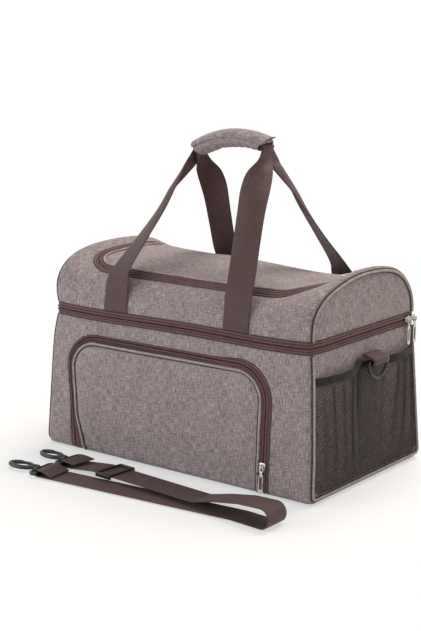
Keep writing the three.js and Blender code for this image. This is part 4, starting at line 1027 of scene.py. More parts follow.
def handleRows(front):
    # centre, direction across the webbing, and its width, all the way along one handle
    facing = -1 if front else 1
    lift = handle["lift"] + handle["thickness"] / 2
    entry, pitch, wide = handle["gripLength"] / 2, handle["pitch"] / 2, handle["gripWidth"]
    bend = handle["bend"] + (handle["pitch"] if front else 0)
    sewn = np.linspace(handle["sewnFrom"], rootAt, 5)
    *base, foot = domeSurface(handle["span"] / 2, sewn if front else archEnd - sewn, lift, 0)
    paths = []
    for side in (1, -1):
        rows = [[side * x, y, z, 0, handle["width"]] for x, y, z in base]
        top = gripHeightAt(side * entry) - pitch - handle["bend"]
        for share, across, inward, early, late, width in handle["legs"]:
            rows.append([side * (foot[0] + (entry + handle["arrival"] * bend - foot[0]) * across),
                         foot[1] * (1 - inward), foot[2] + (top - foot[2]) * share,
                         early if side == facing else late, width])
        for angle in (0, math.pi / 4):
            rows.append([side * (entry + bend * math.cos(angle)), 0, top + bend * math.sin(angle), 90,
                         wide])
        paths.append(rows)
    inside = [[x, 0, gripHeightAt(x) - facing * pitch, 90, wide] for x in np.linspace(entry, -entry, 9)]
    down = [[x, y, z, 180 - turn, width] for x, y, z, turn, width in reversed(paths[1])]
    rows = curveThrough([*paths[0], *inside, *down], handle["points"])
    turn = -facing * np.radians(rows[:, 3])
    return rows[:, :3], np.stack([np.cos(turn), np.sin(turn), 0 * turn], 1), rows[:, 4]


def webbingBand(name, centre, wide, width, thickness, hollow=0.0):
    # a woven band with both faces and rounded selvedges: share of the width, share of half the thickness;
    # hollow is how far its middle bows out where the band is squeezed narrow
    section = [(-0.5, 0.4), (-0.488, 0.86), (-0.465, 1), (-0.3, 1), (-0.1, 1)]
    section += [(-a, h) for a, h in section[::-1]]
    section = np.array(section + [(a, -h) for a, h in section[::-1]])
    outer = unit(np.cross(wide, unit(np.gradient(centre, axis=0))))
    width = np.broadcast_to(np.asarray(width, float), (len(centre),))
    bow = np.broadcast_to(np.asarray(hollow, float), width.shape)[:, None, None]
    bow = bow * (1 - (2 * section[None, :, :1]) ** 2)
    rings = (centre[:, None] + section[None, :, :1] * width[:, None, None] * wide[:, None]
             + (section[None, :, 1:] * thickness / 2 + bow) * outer[:, None])
    along = np.repeat(distances(centre), len(section))
    uv = np.stack([along, (section[None, :, 0] * width[:, None]).ravel()], 1)
    return roundSkin(name, rings, webbing, uv)


for row, side in (("front", -1), ("back", 1)):
    centre, wide, width = handleRows(row == "front")
    clear = np.clip((centre[:, 2] - 285) / 75, 0, 1) * np.clip((412 - centre[:, 2]) / 14, 0.15, 1)
    band = webbingBand(f"{row}Handle", centre, wide, width, handle["thickness"],
                       -side * handle["hollow"] * clear ** 1.3)
    fitted(band, "webbing", "lid", f"{row}_handle", f"handle_base_{row}_left", f"handle_base_{row}_right",
           fold={"to": f"{row}_handle", "start": (0, side * 0.1263, 0.218), "end": (0, side * 0.120, 0.245)})


# Grip wrap: a padded sleeve, puckered along its seam, with a flap that laps over the top
def gripRing(x, turn, lift=0.0):
    # a ring of the grip, which leans out at the top towards the grip's mouths
    x, turn = np.broadcast_arrays(np.asarray(x, float), np.asarray(turn, float))
    end = handle["gripLength"] / 2
    lean = np.radians(grip["mouthTilt"]) * np.clip(x / end, -1, 1)
    up = (grip["thickness"] / 2 + lift) * np.sin(turn)
    z = gripHeightAt(np.minimum(x, end)) + up * np.cos(lean)
    return np.stack([x + up * np.sin(lean), (grip["depth"] / 2 + lift) * np.cos(turn), z], -1)


gripX = np.linspace(-handle["gripLength"] / 2, handle["gripLength"] / 2, 61)
gripTurn = np.linspace(0, 2 * math.pi, 40, endpoint=False)
ringX, ringTurn = np.meshgrid(gripX, gripTurn, indexing="ij")
seamNear = np.exp(-((np.angle(np.exp(1j * (ringTurn + 2.2)))) / 0.5) ** 2)
pinch = 1 - (np.abs(ringX) / gripX[-1]) ** 8
pucker = -grip["puckers"] * seamNear * (0.6 + 0.7 * np.sin(ringX * 0.55 + 1.2 * np.sin(ringX * 0.13)))
slack = ripple(gripRing(ringX, ringTurn).reshape(-1, 3), 17, 6.0).reshape(ringX.shape) * grip["slack"]
knot = np.exp(-((ringX - grip["knotAt"]) / 6.5) ** 2) * np.clip(np.cos(ringTurn + 0.9), 0, 1)
outer = gripRing(ringX, ringTurn, -grip["mouthSlim"] * (1 - pinch) - grip["slim"]
                 + pinch * (pucker + slack - grip["knot"] * knot))
core = gripRing(ringX, ringTurn) * [1, 0, 0] + np.stack([
    0 * ringX, 0.42 * grip["depth"] * np.cos(ringTurn),
    gripHeightAt(ringX) + 0.19 * grip["thickness"] * np.sin(ringTurn)], -1)
lengths = np.concatenate([[-grip["mouthIn"]], gripX, [grip["mouthIn"]], gripX[::-1][1:-1]])
gripWrap = roundSkin("gripWrap", np.concatenate([core[:1], outer, core[-1:], core[::-1][1:-1]], 0), canvas,
                     paired(lengths, gripTurn * grip["round"])[:, ::-1], closed=True)
fitted(gripWrap, "canvas", "back_handle", "grip_wrap")

gripFold = {"to": "grip_flap", "start": (-0.00028, 0.01475, 0.42729), "end": (-0.00087, 0.01079, 0.43176)}
over = np.linspace(math.radians(grip["flapFrom"]), math.radians(grip["flapTo"]), 21)
flapShare = np.linspace(0, 1, 66)[:, None]
aslant = (math.radians(grip["slantTo"]) - over) / math.radians(grip["slantTo"] - grip["flapFrom"])
aslant = np.clip(aslant, 0, 1)[None, :]
flapEndX = gripX[-1] + grip["overhang"] - grip["slant"] * aslant
flapRootX = gripX[0] + grip["slantRoot"] * aslant
overX = flapRootX + flapShare * (flapEndX - flapRootX)
hingeLine = grip["root"] + overX * handle["tilt"] / (handle["gripLength"] / 2)
rootTurn = np.arcsin(np.clip((hingeLine - gripHeightAt(overX)) / (grip["thickness"] / 2), -1, 1))
overTurn = rootTurn + (over - over[0]) / (over[-1] - over[0]) * (over[-1] - rootTurn)
curl = np.clip((overX - 46) / 12, 0, 1) ** 2 * grip["curl"]
wave = ripple(gripRing(overX, overTurn).reshape(-1, 3), 21, 7.0).reshape(overX.shape) * 0.3
hem = np.clip(np.minimum(over - over[0], over[-1] - over) / math.radians(grip["hemTurn"]), 0, 1)
top = gripRing(overX, overTurn, 0.35 + 0.95 * hem + wave * hem + curl)
gripFlap = ribbon("gripFlap", top, canvas, 1.0, across=over * grip["round"],
                  along=flapShare[:, 0] * grip["flapLength"])
fitted(gripFlap, "canvas", "back_handle", "grip_flap", fold=gripFold)
print("handles and grip made")

# End pockets: net, its elastic, and the tab that pins both down
net = {
    "top": 148.0, "foot": 10.0, "margin": 8.6, "corner": 10.0, "room": 11.0, "fullness": 0.8,
    "holeWide": 4.6, "holeHigh": 4.6, "yarn": 0.95, "folds": 2.6, "elasticThickness": 2.4, "pull": 8.5,
    "stand": 0.6,        # how far the net stands off the wall
}
tab = {"width": 36.0, "offset": 8.0, "top": 172.0, "foot": 152.0, "reach": 19.0, "strap": 2.0,
       "ringInside": 40.0, "wire": 4.0, "drop": 21.0, "loop": 9.6, "ringBar": 158.262, "ringOut": 227.609}
tabBack = bag["halfLength"] + flareAt(tab["foot"]) + net["elasticThickness"] + net["stand"]
ends = ((1, "Right"), (-1, "Left"))


def netBelly(y, z):
    side = bag["halfDepth"] + flareAt(z) - net["margin"]
    near, far = tab["offset"] - tab["width"] / 2, tab["offset"] + tab["width"] / 2
    front = np.clip((y + side) / (near + side), 0, 1)
    rear = np.clip((y - far) / (side - far), 0, 1)
    return np.where(y < near, np.sin(math.pi * front), np.where(y > far, np.sin(math.pi * rear), 0))


def netPull(y):
    # the tab draws the net and its elastic up beside it
    return net["pull"] * np.exp(-((y - tab["offset"] + tab["width"] / 2 + 7) / 9) ** 2)


def netPoint(side, y, z):
    y, z = np.broadcast_arrays(np.asarray(y, float), np.asarray(z, float))
    up = np.clip((z - net["foot"]) / (net["top"] - net["foot"]), 0, 1)
    belly = netBelly(y, z)
    gathers = 0.55 * np.sin(y * 0.26 + 1.7 * np.sin(z * 0.02 + y * 0.03)) + 0.45 * np.sin(y * 0.113 + 0.8)
    folds = net["folds"] * gathers * np.clip(belly * 2, 0, 1) * (0.25 + 0.75 * up) * np.clip(up * 4, 0, 1)
    folds = folds * np.clip((1.02 - up) * 9, 0.12, 1)
    full = net["room"] * belly * up ** net["fullness"]
    out = bag["halfLength"] + flareAt(z) + net["stand"] + 0.86 * full + np.maximum(folds, -0.7 * full)
    return np.stack([side * out, y, z + netPull(y) * up ** 3], -1)


def netLattice(side):
    rows = int((net["top"] - net["foot"]) / (net["holeHigh"] / 2))
    points, index = [], {}
    for j in range(rows + 1):
        z = net["foot"] + (net["top"] - net["foot"]) * j / rows
        reach = bag["halfDepth"] + flareAt(z) - net["margin"]
        lower = reach - max(0, net["corner"] - (z - net["foot"]))
        for i in range(-120, 121):
            y = i * net["holeWide"] + (net["holeWide"] / 2 if j % 2 else 0)
            if abs(y) <= lower:
                index[(j, i)] = len(points)
                points.append([y, z])
    edges = []
    for (j, i), here in index.items():
        for other in ((j + 1, i), (j + 1, i + (1 if j % 2 else -1))):
            if other in index:
                edges.append((here, index[other]))
    flat = np.array(points)
    data = bpy.data.meshes.new("net")
    data.from_pydata((netPoint(side, flat[:, 0], flat[:, 1]) * mm).tolist(), edges, [])
    return newPiece("net", data)


def tabLoop():
    # x out from the wall and z, round the loop from its upper sewn end to its lower one
    radius, middle = tab["loop"] / 2, tab["reach"] - 1.2 - tab["loop"] / 2
    turn = np.linspace(math.pi / 2, -math.pi / 2, 15)
    curve = np.stack([middle + radius * np.cos(turn), tab["ringBar"] + 1.2 + radius * np.sin(turn)], 1)
    return curveThrough(np.vstack([[[0.2, tab["top"] - 4.5], [4.5, tab["top"] - 4.9]], curve,
                                   [[4.5, tab["foot"] + 1.6], [0.2, tab["foot"] + 1.2]]]), 60)


for side, end in ends:
    label = end.lower()
    mesh = grown(netLattice(side), yarnsOn, f"net{end}", Thickness=net["yarn"] * mm, Sides=3,
                 Material=netYarn)
    fitted(mesh, "mesh", "bag_base", f"mesh_pocket_{label}")

    # elastic binding, drawn in over the net's top edge: (height above it, how far out)
    y = np.linspace(-118.3, 118.3, 160)
    rows = []
    for up, out in ((-1.5, 1.7), (0.5, 2.4), (4.5, 2.7), (8.0, 2.3), (9.3, 1.4), (9.2, 0.5)):
        z = net["top"] + up
        line = netPoint(side, y, net["top"])
        line[:, 0] += side * (out - net["stand"] + 0.25 * np.sin(y * 1.1 + z))
        line[:, 2] = z + 0.35 * np.sin(y * 0.21 + side) + netPull(y)
        rows.append(line)
    band = ribbon(f"elastic{end}", np.stack(rows[::side], 1), elasticBand, 0.8)
    fitted(band, "elastic", "bag_base", f"elastic_{label}")

    # tab of folded webbing
    loop = resample(tabLoop(), 1.5)
    across = np.linspace(-1, 1, 7)
    rows = np.stack([np.stack([
        side * (tabBack + loop[:, 0] + 0.014 * loop[:, 0] * math.cos(share * math.pi / 2)),
        np.full(len(loop), tab["offset"] + share / 2 * tab["width"]), loop[:, 1]], -1)
        for share in across], 1)
    tabPiece = thickened(ribbon(f"tab{end}", rows[:, ::-side], webbing), tab["strap"], 0.0)
    fitted(tabPiece, "webbing", "bag_base", f"tab_{label}")

    # D-ring: a straight bar in the tab and a bow under it
    half, wire = (tab["ringInside"] + tab["wire"]) / 2, tab["wire"] / 2
    turn = np.linspace(math.pi, 2 * math.pi, 33)
    bow = np.stack([half * np.cos(turn), -wire + (tab["drop"] - wire) * np.sin(turn)], 1)
    outline = resample(np.vstack([[[half - 2, 0]], [[-half + 2, 0]], bow]), 1.6, closed=True)
    path = np.stack([np.full(len(outline), side * tab["ringOut"]), tab["offset"] + outline[:, 0],
                     tab["ringBar"] + outline[:, 1]], 1)
    ring = tube(f"dRing{end}", path, wire + 0.35, 14, acetal, closed=True, up=(1, 0, 0), flatten=0.85)
    fitted(ring, "black_plastic", f"d_ring_{label}", f"d_ring_{label}")
print("end pockets made")

# Piping round the two end panels, in the canvas painted lighter as a highlight, with a dark thread line on
# each side of it that is painted shade in the crease
piping = {"radius": 1.7, "inset": 6.0, "stand": 0.3, "seamOut": 2.5, "seamIn": 2.4}


def domeRow(side, inset, out):
    y, up = archShape(np.linspace(0.0, math.pi, 110))
    y = y * (bag["halfDepth"] - inset)
    z = bag["archFoot"] + (riseAt(side * bag["halfLength"]) - inset) * up
    return np.stack([np.full_like(y, side * (bag["halfLength"] + out)), y, z], 1)


def footRow(side, inset, out):
    edge, depth = bag["baseEdge"], bag["halfDepth"]
    half = [[depth + flareAt(z) - inset, z] for z in np.linspace(bag["shellTop"] - 2.5, edge, 24)]
    for turn in np.linspace(math.pi / 2, 0, 12)[1:]:
        z, drawn = baseRound(turn * 2 / math.pi * edge, inset)
        half.append([depth + flareAt(z) - edge * drawn - inset * (1 - drawn), float(z)])
    half = np.array(half)
    line = resample(np.vstack([half * [-1, 1], half[::-1]]), 2.5)
    return np.stack([side * (bag["halfLength"] + flareAt(line[:, 1]) + out), line[:, 0], line[:, 1]], 1)


for side, end in ends:
    for name, row, node, body in (("domePiping", domeRow, "dome_piping", "lid"),
                                  ("lowerPiping", footRow, "lower_piping", "bag_base")):
        cord = tube(f"{name}{end}", row(side, piping["inset"], piping["radius"] + piping["stand"]),
                    piping["radius"], 10, pipingCanvasPaintedLit, up=(side, 0, 0))
        fitted(cord, "canvas", body, f"{node}_{end.lower()}")
        # the two dark lines beside each cord are painted shade in the creases along it
        for part, inset in (("Outer", piping["inset"] - piping["seamOut"]),
                            ("Inner", piping["inset"] + piping["seamIn"])):
            seamAndShadeLine(f"{name}Seam{part}{end}", row(side, inset, 0.5), 0.6, body)
print("piping made")


# Flat hardware: an outline with holes, extruded, with softened edges. It is drawn in X and Y.
def plate(name, outline, holes, thickness, edge, material):
    data = bpy.data.curves.new(name, "CURVE")
    data.dimensions = "2D"
    data.fill_mode = "BOTH"
    data.extrude = (thickness / 2 - edge) * mm
    data.bevel_depth = edge * mm
    data.bevel_resolution = 2
    data.offset = -edge * mm
    for loop in (outline, *holes):
        spline = data.splines.new("POLY")
        spline.points.add(len(loop) - 1)
        spline.points.foreach_set("co", np.pad(np.asarray(loop, float) * mm, ((0, 0), (0, 2))).ravel())
        spline.use_cyclic_u = True
    source = newPiece(name, data)
    mesh = finalMesh(source)
    bpy.data.objects.remove(source)
    mesh.name = name
    return faceOutwards(newPiece(name, mesh, material), 0.02)


def roundedBox(x0, x1, y0, y1, radius):
    line = []
    for cx, cy, quarter in ((x1 - radius, y1 - radius, 0), (x0 + radius, y1 - radius, 1),
                            (x0 + radius, y0 + radius, 2), (x1 - radius, y0 + radius, 3)):
        for turn in (quarter + np.linspace(0, 1, 6)) * math.pi / 2:
            line.append([cx + radius * math.cos(turn), cy + radius * math.sin(turn)])
    return np.array(line)


flatWays = ((1, 0, 0), (0, 1, 0), (0, 0, 1))
upright = ((1, 0, 0), (0, 0, 1), (0, -1, 0))


def placed(piece, origin, x, y, z):
    # moves a finished mesh from its own axes to a place on the bag
    setPoints(piece, pointsOf(piece) @ np.array([x, y, z], float) + np.asarray(origin) * mm)
    return piece


def shaded(piece, angle=35):
    # flat faces stay flat and rounded edges smooth
    piece.data.polygons.foreach_set("use_smooth", [True] * len(piece.data.polygons))
    piece.data.set_sharp_from_angle(angle=math.radians(angle))
    return piece


# Zip sliders and their pulls, with their own -Y outwards and Z along the zip
slider = {
    "length": 11.0, "width": 9.5, "low": 1.5, "middle": 3.2, "face": 4.3, "bridge": 8.6, "bridgeHalf": 3.0,
    "wire": 0.75, "axis": 6.1, "pull": 34.0, "pullHalf": 3.5, "pullThick": 1.4, "pullNeck": 1.9,
    "flapAt": (177.5, 28.0, 266.236),
}
wallTilt = math.atan(bag["flare"] / bag["shellTop"])
sliderPlaces = {
    "pocket": ((150.5, -132.968, 38.0), (1, 0, 0), (0, math.cos(wallTilt), -math.sin(wallTilt)),
               (0, math.sin(wallTilt), math.cos(wallTilt))),
    "end": ((210.0, 104.0, 194.5), (0, 1, 0), (-1, 0, 0), (0, 0, 1)),
    "corner": ((210.0, 119.0, 194.5), (0, 1, 0), (-1, 0, 0), (0, 0, 1)),
    "flap": (slider["flapAt"], (0.996739, 0.002150, 0.080667), (0.080696, -0.026559, -0.996385),
             (0, 0.999645, -0.026646)),
}


def sliderPlate(name, grow, near, far, across):
    # the slider's shield: broad shoulders where the two halves part and a narrower tail
    length, width = slider["length"] / 2 - grow, slider["width"] / 2 - grow
    shield = [[0.62, 1], [0.86, 0.9], [1, 0.62], [0.97, 0.2], [0.74, -0.5], [0.72, -0.86], [0.6, -1]]
    shield = np.array([[-0.62, 1], *shield, *([-x, y] for x, y in shield[:0:-1])]) * [width, length]
    body = plate(name, shield[:, ::-1] if across else shield, [], far - near, 0.35, nickel)
    return placed(body, (0, -(near + far) / 2, 0), *upright)


def pullPiece(name, core):
    half, neck, tip = slider["pullHalf"], slider["pullNeck"], slider["pull"]
    right = [[2.9, 0.6], [3.1, -0.4], [3.1, -4.6], [neck, -6.6], [neck, -8.2], [half, -11.0],
             [half, half - tip]]
    turn = np.linspace(0, math.pi, 13)[1:-1]
    outline = np.vstack([right, np.stack([half * np.cos(turn), half - tip - half * np.sin(turn)], 1),
                         (np.array(right) * [-1, 1])[::-1]])[::-1]
    eye = roundedBox(-1.75, 1.75, -5.1, -0.6, 0.9)
    slot = roundedBox(-1.7, 1.7, 5.2 - tip, -12.5, 1.6)
    body = plate(name, outline, [eye, slot], slider["pullThick"], 0.42, nickel)
    pieces = [placed(body, (0, 0, 0), *upright),
              tube(f"{name}Bar", [[-2.6, 0, 0], [2.6, 0, 0]], 0.68, 10, nickel)]
    if core:
        inlay = plate(f"{name}Core", roundedBox(-1.75, 1.75, 5.15 - tip, -12.45, 1.6), [], 0.9, 0.3, acetal)
        pieces.append(placed(inlay, (0, 0, 0), *upright))
    return joined(name, pieces)


for label, (origin, *axes) in sliderPlaces.items():
    across = label in ("end", "corner")
    top = sliderPlate(f"{label}Slider", 0.0, slider["middle"], slider["face"], across)
    under = sliderPlate(f"{label}SliderUnder", 0.7, slider["low"], slider["middle"], across)
    h, b = slider["bridgeHalf"], slider["bridge"]
    arch = curveThrough([[0, -4.0, -h], [0, -6.4, -h - 0.1], [0, -b + 0.5, -h + 0.7], [0, -b, -h + 1.9],
                         [0, -b, h - 1.9], [0, -b + 0.5, h - 0.7], [0, -6.4, h + 0.1], [0, -4.0, h]], 30)
    arch = tube(f"{label}Bridge", arch, slider["wire"], 10, nickel, up=(1, 0, 0))
    piece = shaded(placed(joined(f"{label}Slider", [top, under, arch]), origin, *axes))
    fitted(piece, "nickel", f"{label}_slider", f"{label}_slider")
    pivot = np.array(origin) - slider["axis"] * np.array(axes[1])
    pull = shaded(placed(pullPiece(f"{label}Pull", label == "corner"), pivot, *axes))
    fitted(pull, "nickel", f"{label}_pull", f"{label}_pull")
print("sliders made")

# Shoulder strap, lying unclipped in front of the bag and folded once
strap = {
    "width": 38.0, "thickness": 1.5, "front": 212.0, "fold": 232.0, "kink": 170.0, "end": -128.0,
    "fan": 25.0, "loop": 26.0, "layer": 8.0, "tail": 24.0, "ease": 0.5, "turn": 0.95, "slump": 0.92,
    "slope": 2.4, "gap": 0.3, "hookLift": 5.0, "frame": 5.0, "bar": 3.0, "glideRun": 215.0,
}
fanTurn = math.atan(strap["fan"] / (strap["kink"] - strap["end"]))
fanRun = (strap["kink"] - strap["end"]) / math.cos(fanTurn)


def strapAt(side, run, z):
    return [strap["kink"] - run * math.cos(fanTurn), side * run * math.sin(fanTurn) - strap["front"], z]


def strapWrap(side, tailLift):
    # round the bar of a hook's frame, from the tail that is sewn back to the long layer
    lift = strap["frame"] / 2 + strap["thickness"] / 2 + strap["gap"] + strap["ease"]
    reach = strap["bar"] / 2 + strap["thickness"] / 2 + strap["gap"] + strap["ease"] / 2
    turn = strap["turn"]
    rows = [(-strap["tail"], tailLift - strap["hookLift"]), (-strap["tail"] / 3, lift),
            (reach - turn, lift), (reach, lift - turn), (reach, turn - lift), (reach - turn, -lift),
            (-strap["tail"] / 4, -lift)]
    return [(side, fanRun + run, strap["hookLift"] + z) for run, z in rows]


lowest = strap["thickness"] / 2 + strap["gap"]
foldRadius = (strap["loop"] - lowest) / 2
foldX = strap["fold"] - foldRadius - strap["thickness"]
spots = [
    *strapWrap(-1, lowest + strap["thickness"] + strap["gap"] + strap["ease"]),
    (-1, fanRun - strap["tail"], lowest), (-1, 0, lowest),
    *((1, strap["kink"] - foldX - foldRadius * math.sin(turn), lowest + foldRadius * (1 - math.cos(turn)))
      for turn in np.linspace(0, math.pi, 13)),
    (1, -strap["loop"] / 2, strap["loop"] * strap["slump"]),
    (1, strap["loop"], (strap["loop"] + strap["layer"]) / 2),
    (1, strap["slope"] * strap["loop"], strap["layer"]),
    (1, strap["width"] / math.sin(fanTurn) / 2 + strap["tail"] / 2, strap["layer"]),
    *strapWrap(1, strap["layer"])[::-1],
]
line = resample([[*strapAt(*spot), -spot[0] * fanTurn if spot[1] > 0 else 0.0] for spot in spots], 1.2)
# the line is smoothed over seven points, and its two ends stay where they are
kernel = np.exp(-np.arange(-3, 4) ** 2 / 3.0)
kernel /= kernel.sum()
lineEnds = line[[0, -1]].copy()
longer = np.vstack([np.repeat(line[:1], 3, 0), line, np.repeat(line[-1:], 3, 0)])
line = np.stack([np.convolve(longer[:, k], kernel, "valid") for k in range(4)], 1)
line[[0, -1]] = lineEnds
wideAcross = np.stack([-np.sin(line[:, 3]), np.cos(line[:, 3]), 0 * line[:, 3]], 1)
shoulderStrap = webbingBand("shoulderStrap", line[:, :3], wideAcross, strap["width"], strap["thickness"])
fitted(shoulderStrap, "webbing", "strap", "shoulder_strap")

# Swivel hooks: a frame with a collar, a hook whose post turns in it, and its gate
hook = {"length": 13.0, "width": 46.0, "bar": 3.0, "collar": 4.6, "collarLength": 8.0, "post": 2.6,
        "long": 42.0, "wide": 24.0, "stock": 6.0, "gateBack": 9.6, "gate": 15.0, "inset": 0.5,
        "gateWide": 4.0, "gateThick": 3.6}
root = hook["bar"] / 2 - hook["length"] - hook["collarLength"] - strap["gap"]


def turned(name, profile, sides):
    # a round piece along X: profile rows are x and radius
    ring = np.linspace(0, 2 * np.pi, sides, endpoint=False)
    rows = [[[x, radius * math.cos(t), radius * math.sin(t)] for t in ring] for x, radius in profile]
    return roundSkin(name, np.array(rows), acetal)


for label, side in (("front", -1), ("rear", 1)):
    origin = strapAt(side, fanRun, strap["hookLift"])
    turn = -side * fanTurn
    axes = ((math.cos(turn), math.sin(turn), 0), (-math.sin(turn), math.cos(turn), 0), (0, 0, 1))
    x1, x0, half, bar = hook["bar"] / 2, hook["bar"] / 2 - hook["length"], hook["width"] / 2, hook["bar"]
    outline = np.array([[x1, -half + 1.5], [x1, half - 1.5], [x1 - 1.5, half], [x0 + 4.5, half],
                        [x0 + 1.5, half - 1.6], [x0, half - 6], [x0, 6 - half], [x0 + 1.5, 1.6 - half],
                        [x0 + 4.5, -half], [x1 - 1.5, -half]])
    window = roundedBox(x0 + bar, x1 - bar, bar - half, half - bar, 1.6)
    body = plate("frame", outline, [window], strap["frame"], 1.1, acetal)
    r, c0, c1 = hook["collar"], x0 - hook["collarLength"], x0 + 1.2
    collar = turned("collar", [
        (c0, hook["post"] + 0.4), (c0, r - 0.9), (c0 + 0.6, r - 0.25), (c0 + 1.6, r - 0.1),
        (c0 + 1.9, r - 0.7), (c0 + 2.5, r - 0.7), (c0 + 2.8, r), (c1 - 3.2, r), (c1 - 1.2, r - 0.5),
        (c1, r - 1.6), (c1, 1.0)], 28)
    swivel = shaded(placed(joined(f"strapSwivel{label.title()}", [body, collar]), origin, *axes))
    fitted(swivel, "black_plastic", "strap", f"strap_swivel_{label}")

    middle = root - hook["long"] / 2
    rx, ry = (hook["long"] - hook["stock"]) / 2, (hook["wide"] - hook["stock"]) / 2
    gate1 = root - hook["gateBack"]
    gate0 = gate1 - hook["gate"]
    start = math.acos(min((gate1 - middle) / rx, 1.0))
    stop = math.acos(max((gate0 - middle) / rx, -1.0))
    sweep = np.linspace(start, stop - 2 * math.pi, 90)
    path = np.stack([middle + rx * np.cos(sweep), ry * np.sin(sweep), 0 * sweep], 1)
    # the stock tapers towards the gate's hinge and at the mouth
    share = np.linspace(0, 1, 90)
    taper = 1 - 0.22 * np.exp(-((1 - share) / 0.035) ** 2) - 0.3 * np.exp(-(share / 0.02) ** 2)
    ringPiece = tube("hook", path, hook["stock"] / 2 * taper - 0.05, 16, acetal)
    post = turned("post", [(root - 2.5, 2.0), (root - 1.2, hook["post"]),
                           (root + hook["collarLength"] + 1.6, hook["post"])], 20)
    flange = turned("flange", [(root - 3.6, 2.2), (root - 3.2, 3.6), (root - 0.7, 3.9), (root - 0.1, 3.6),
                               (root - 0.1, 2.0)], 24)
    hookPiece = joined(f"strapHook{label.title()}", [ringPiece, post, flange])
    hookPiece = shaded(placed(hookPiece, origin, *axes), 50)
    fitted(hookPiece, "black_plastic", f"strap_hook_{label}", f"strap_hook_{label}")

    g0, g1, gh = gate0 + hook["inset"], gate1 - hook["inset"], hook["gateWide"] / 2
    turn = np.linspace(-math.pi / 2, math.pi / 2, 9)
    gateLoop = np.vstack([
        np.stack([g1 - gh + gh * np.cos(turn), ry + gh * np.sin(turn)], 1),
        [[g0 + 1.0, ry + gh], [g0, ry + gh - 0.8], [g0, ry - gh + 0.8], [g0 + 1.0, ry - gh]]])
    gate = plate("gate", gateLoop, [], hook["gateThick"], 0.7, acetal)
    ribs = [plate("rib", roundedBox(g0 + 3.4 + k, g0 + 4.1 + k, ry - 1.2, ry + 1.2, 0.3), [],
                  hook["gateThick"] + 0.3, 0.25, acetal) for k in (0, 1.7, 3.4)]
    gatePiece = shaded(placed(joined(f"strapGate{label.title()}", [gate, *ribs]), origin, *axes))
    fitted(gatePiece, "black_plastic", f"strap_gate_{label}", f"strap_gate_{label}")

# Tri-glide: three bars between two side rails; the middle bar runs under the strap
glide = {"length": 27.0, "width": 47.0, "bar": 3.0, "thickness": 2.0}
low = -strap["thickness"] / 2 - strap["gap"] - glide["thickness"]
half, end, bar = glide["width"] / 2, glide["length"] / 2, glide["bar"] / 2
rail = (glide["width"] - strap["width"]) / 2 - strap["gap"]
parts = [plate("rail", roundedBox(-end, end, y0, y1, 1.4), [], -2 * low, 0.9, acetal)
         for y0, y1 in ((-half, rail - half), (half - rail, half))]
for x, z in ((bar - end, 1), (0, -1), (end - bar, 1)):
    cross = plate("bar", roundedBox(x - bar, x + bar, 1.5 - half, half - 1.5, 0.7), [],
                  glide["thickness"], 0.6, acetal)
    parts.append(placed(cross, (0, 0, z * (-low - glide["thickness"] / 2)), *flatWays))
c, s = math.cos(fanTurn), math.sin(fanTurn)
triGlide = placed(joined("triGlide", parts), strapAt(1, strap["glideRun"], strap["layer"]),
                  (c, -s, 0), (s, c, 0), (0, 0, 1))
fitted(shaded(triGlide), "black_plastic", "tri_glide", "tri_glide")
print("strap made")

# Hinge: a strip of cloth between the two storeys behind the bag, puffed a little between its two seams
hinge = {"half": 177.5, "points": 90, "thickness": 1.3, "seams": (188.8, 200.6), "stitchOut": 0.25,
         "rows": [(187.2, 0), (189.5, 0.25), (192, 0.05), (194.5, -0.15), (197, 0.05), (199.6, 0.25),
                  (202.2, 0)]}     # height, and how far out
hingeX = np.linspace(-hinge["half"], hinge["half"], hinge["points"])


def hingeRow(lift, z):
    return np.stack([hingeX, 0 * hingeX + bag["halfDepth"] + lift, 0 * hingeX + z], -1)


rows = np.stack([hingeRow(lift - 0.1, z) for z, lift in hinge["rows"]], 1)
hingeStrip = ribbon("hingeStrip", rows, canvas, hinge["thickness"])
fitted(hingeStrip, "canvas", "bag_base", "hinge_strip_lower", "hinge_strip_upper",
       fold={"to": "lid", "start": (0, 0.1245, 0.1885), "end": (0, 0.1245, 0.2005)})
for z, name, body in zip(hinge["seams"], ("BagBase", "Lid"), ("bag_base", "lid")):
    line = hingeRow(hinge["stitchOut"], z)
    outwards = np.broadcast_to([0.0, 1.0, 0.0], line.shape)
    thread = barsOn(f"hingeStitches{name}", line, outwards, stitch, seamAndShadeThread, 0.9, 5)
    fitted(thread, "canvas", body)

# Linings. The foam's section is a list of (inset from the wall, height), and so are the bindings'.
lining = {
    "foil": 8.1, "front": 10.3, "floor": 11.4, "round": 10.0, "corner": 2.0, "rim": 193.4, "crinkle": 0.7,
    "foam": [(6.8, 20), (6.8, 192.8), (5.6, 193.9), (3.0, 193.9), (1.9, 192.8), (1.9, 20)],
    "lowerEdge": [(9.0, 182.5), (8.9, 190.6), (8.2, 193.2), (6.6, 194.15), (4.0, 194.15), (2.4, 193.2),
                  (1.75, 190.5)],
    "lidEdge": [(8.35, 196.2), (8.1, 195.1), (6.6, 194.75), (4.0, 194.75), (2.4, 195.4), (1.75, 198.0)],
}


def tubPoint(u, z, inset, drawn=0.0, front=lining["front"]):
    # a ring inside the walls; below, the front stands further in, behind the pocket
    sx, sy, turn = wallPlace(u)
    flare, corner = flareAt(z) if front else 0.0, lining["corner"]
    x = sx * (bag["halfLength"] + flare - inset - drawn - corner) + corner * np.cos(turn)
    y = sy * (bag["halfDepth"] + flare - inset - drawn - corner) + corner * np.sin(turn)
    return np.stack([x, y + front * (1 - sy) / 2, np.broadcast_to(z, x.shape)], -1)


tubU = np.linspace(0, wallEnd, 260, endpoint=False)
tubOut = ringOut(tubU)


def tubBinding(name, profile, body, front):
    # cloth bound over the cut edge of the foam, all the way round
    rows = np.stack([tubPoint(tubU, z, inset, front=front) for inset, z in profile], 1)
    fitted(ribbon(name, np.concatenate([rows, rows[:1]]), liningCloth), "canvas", body)


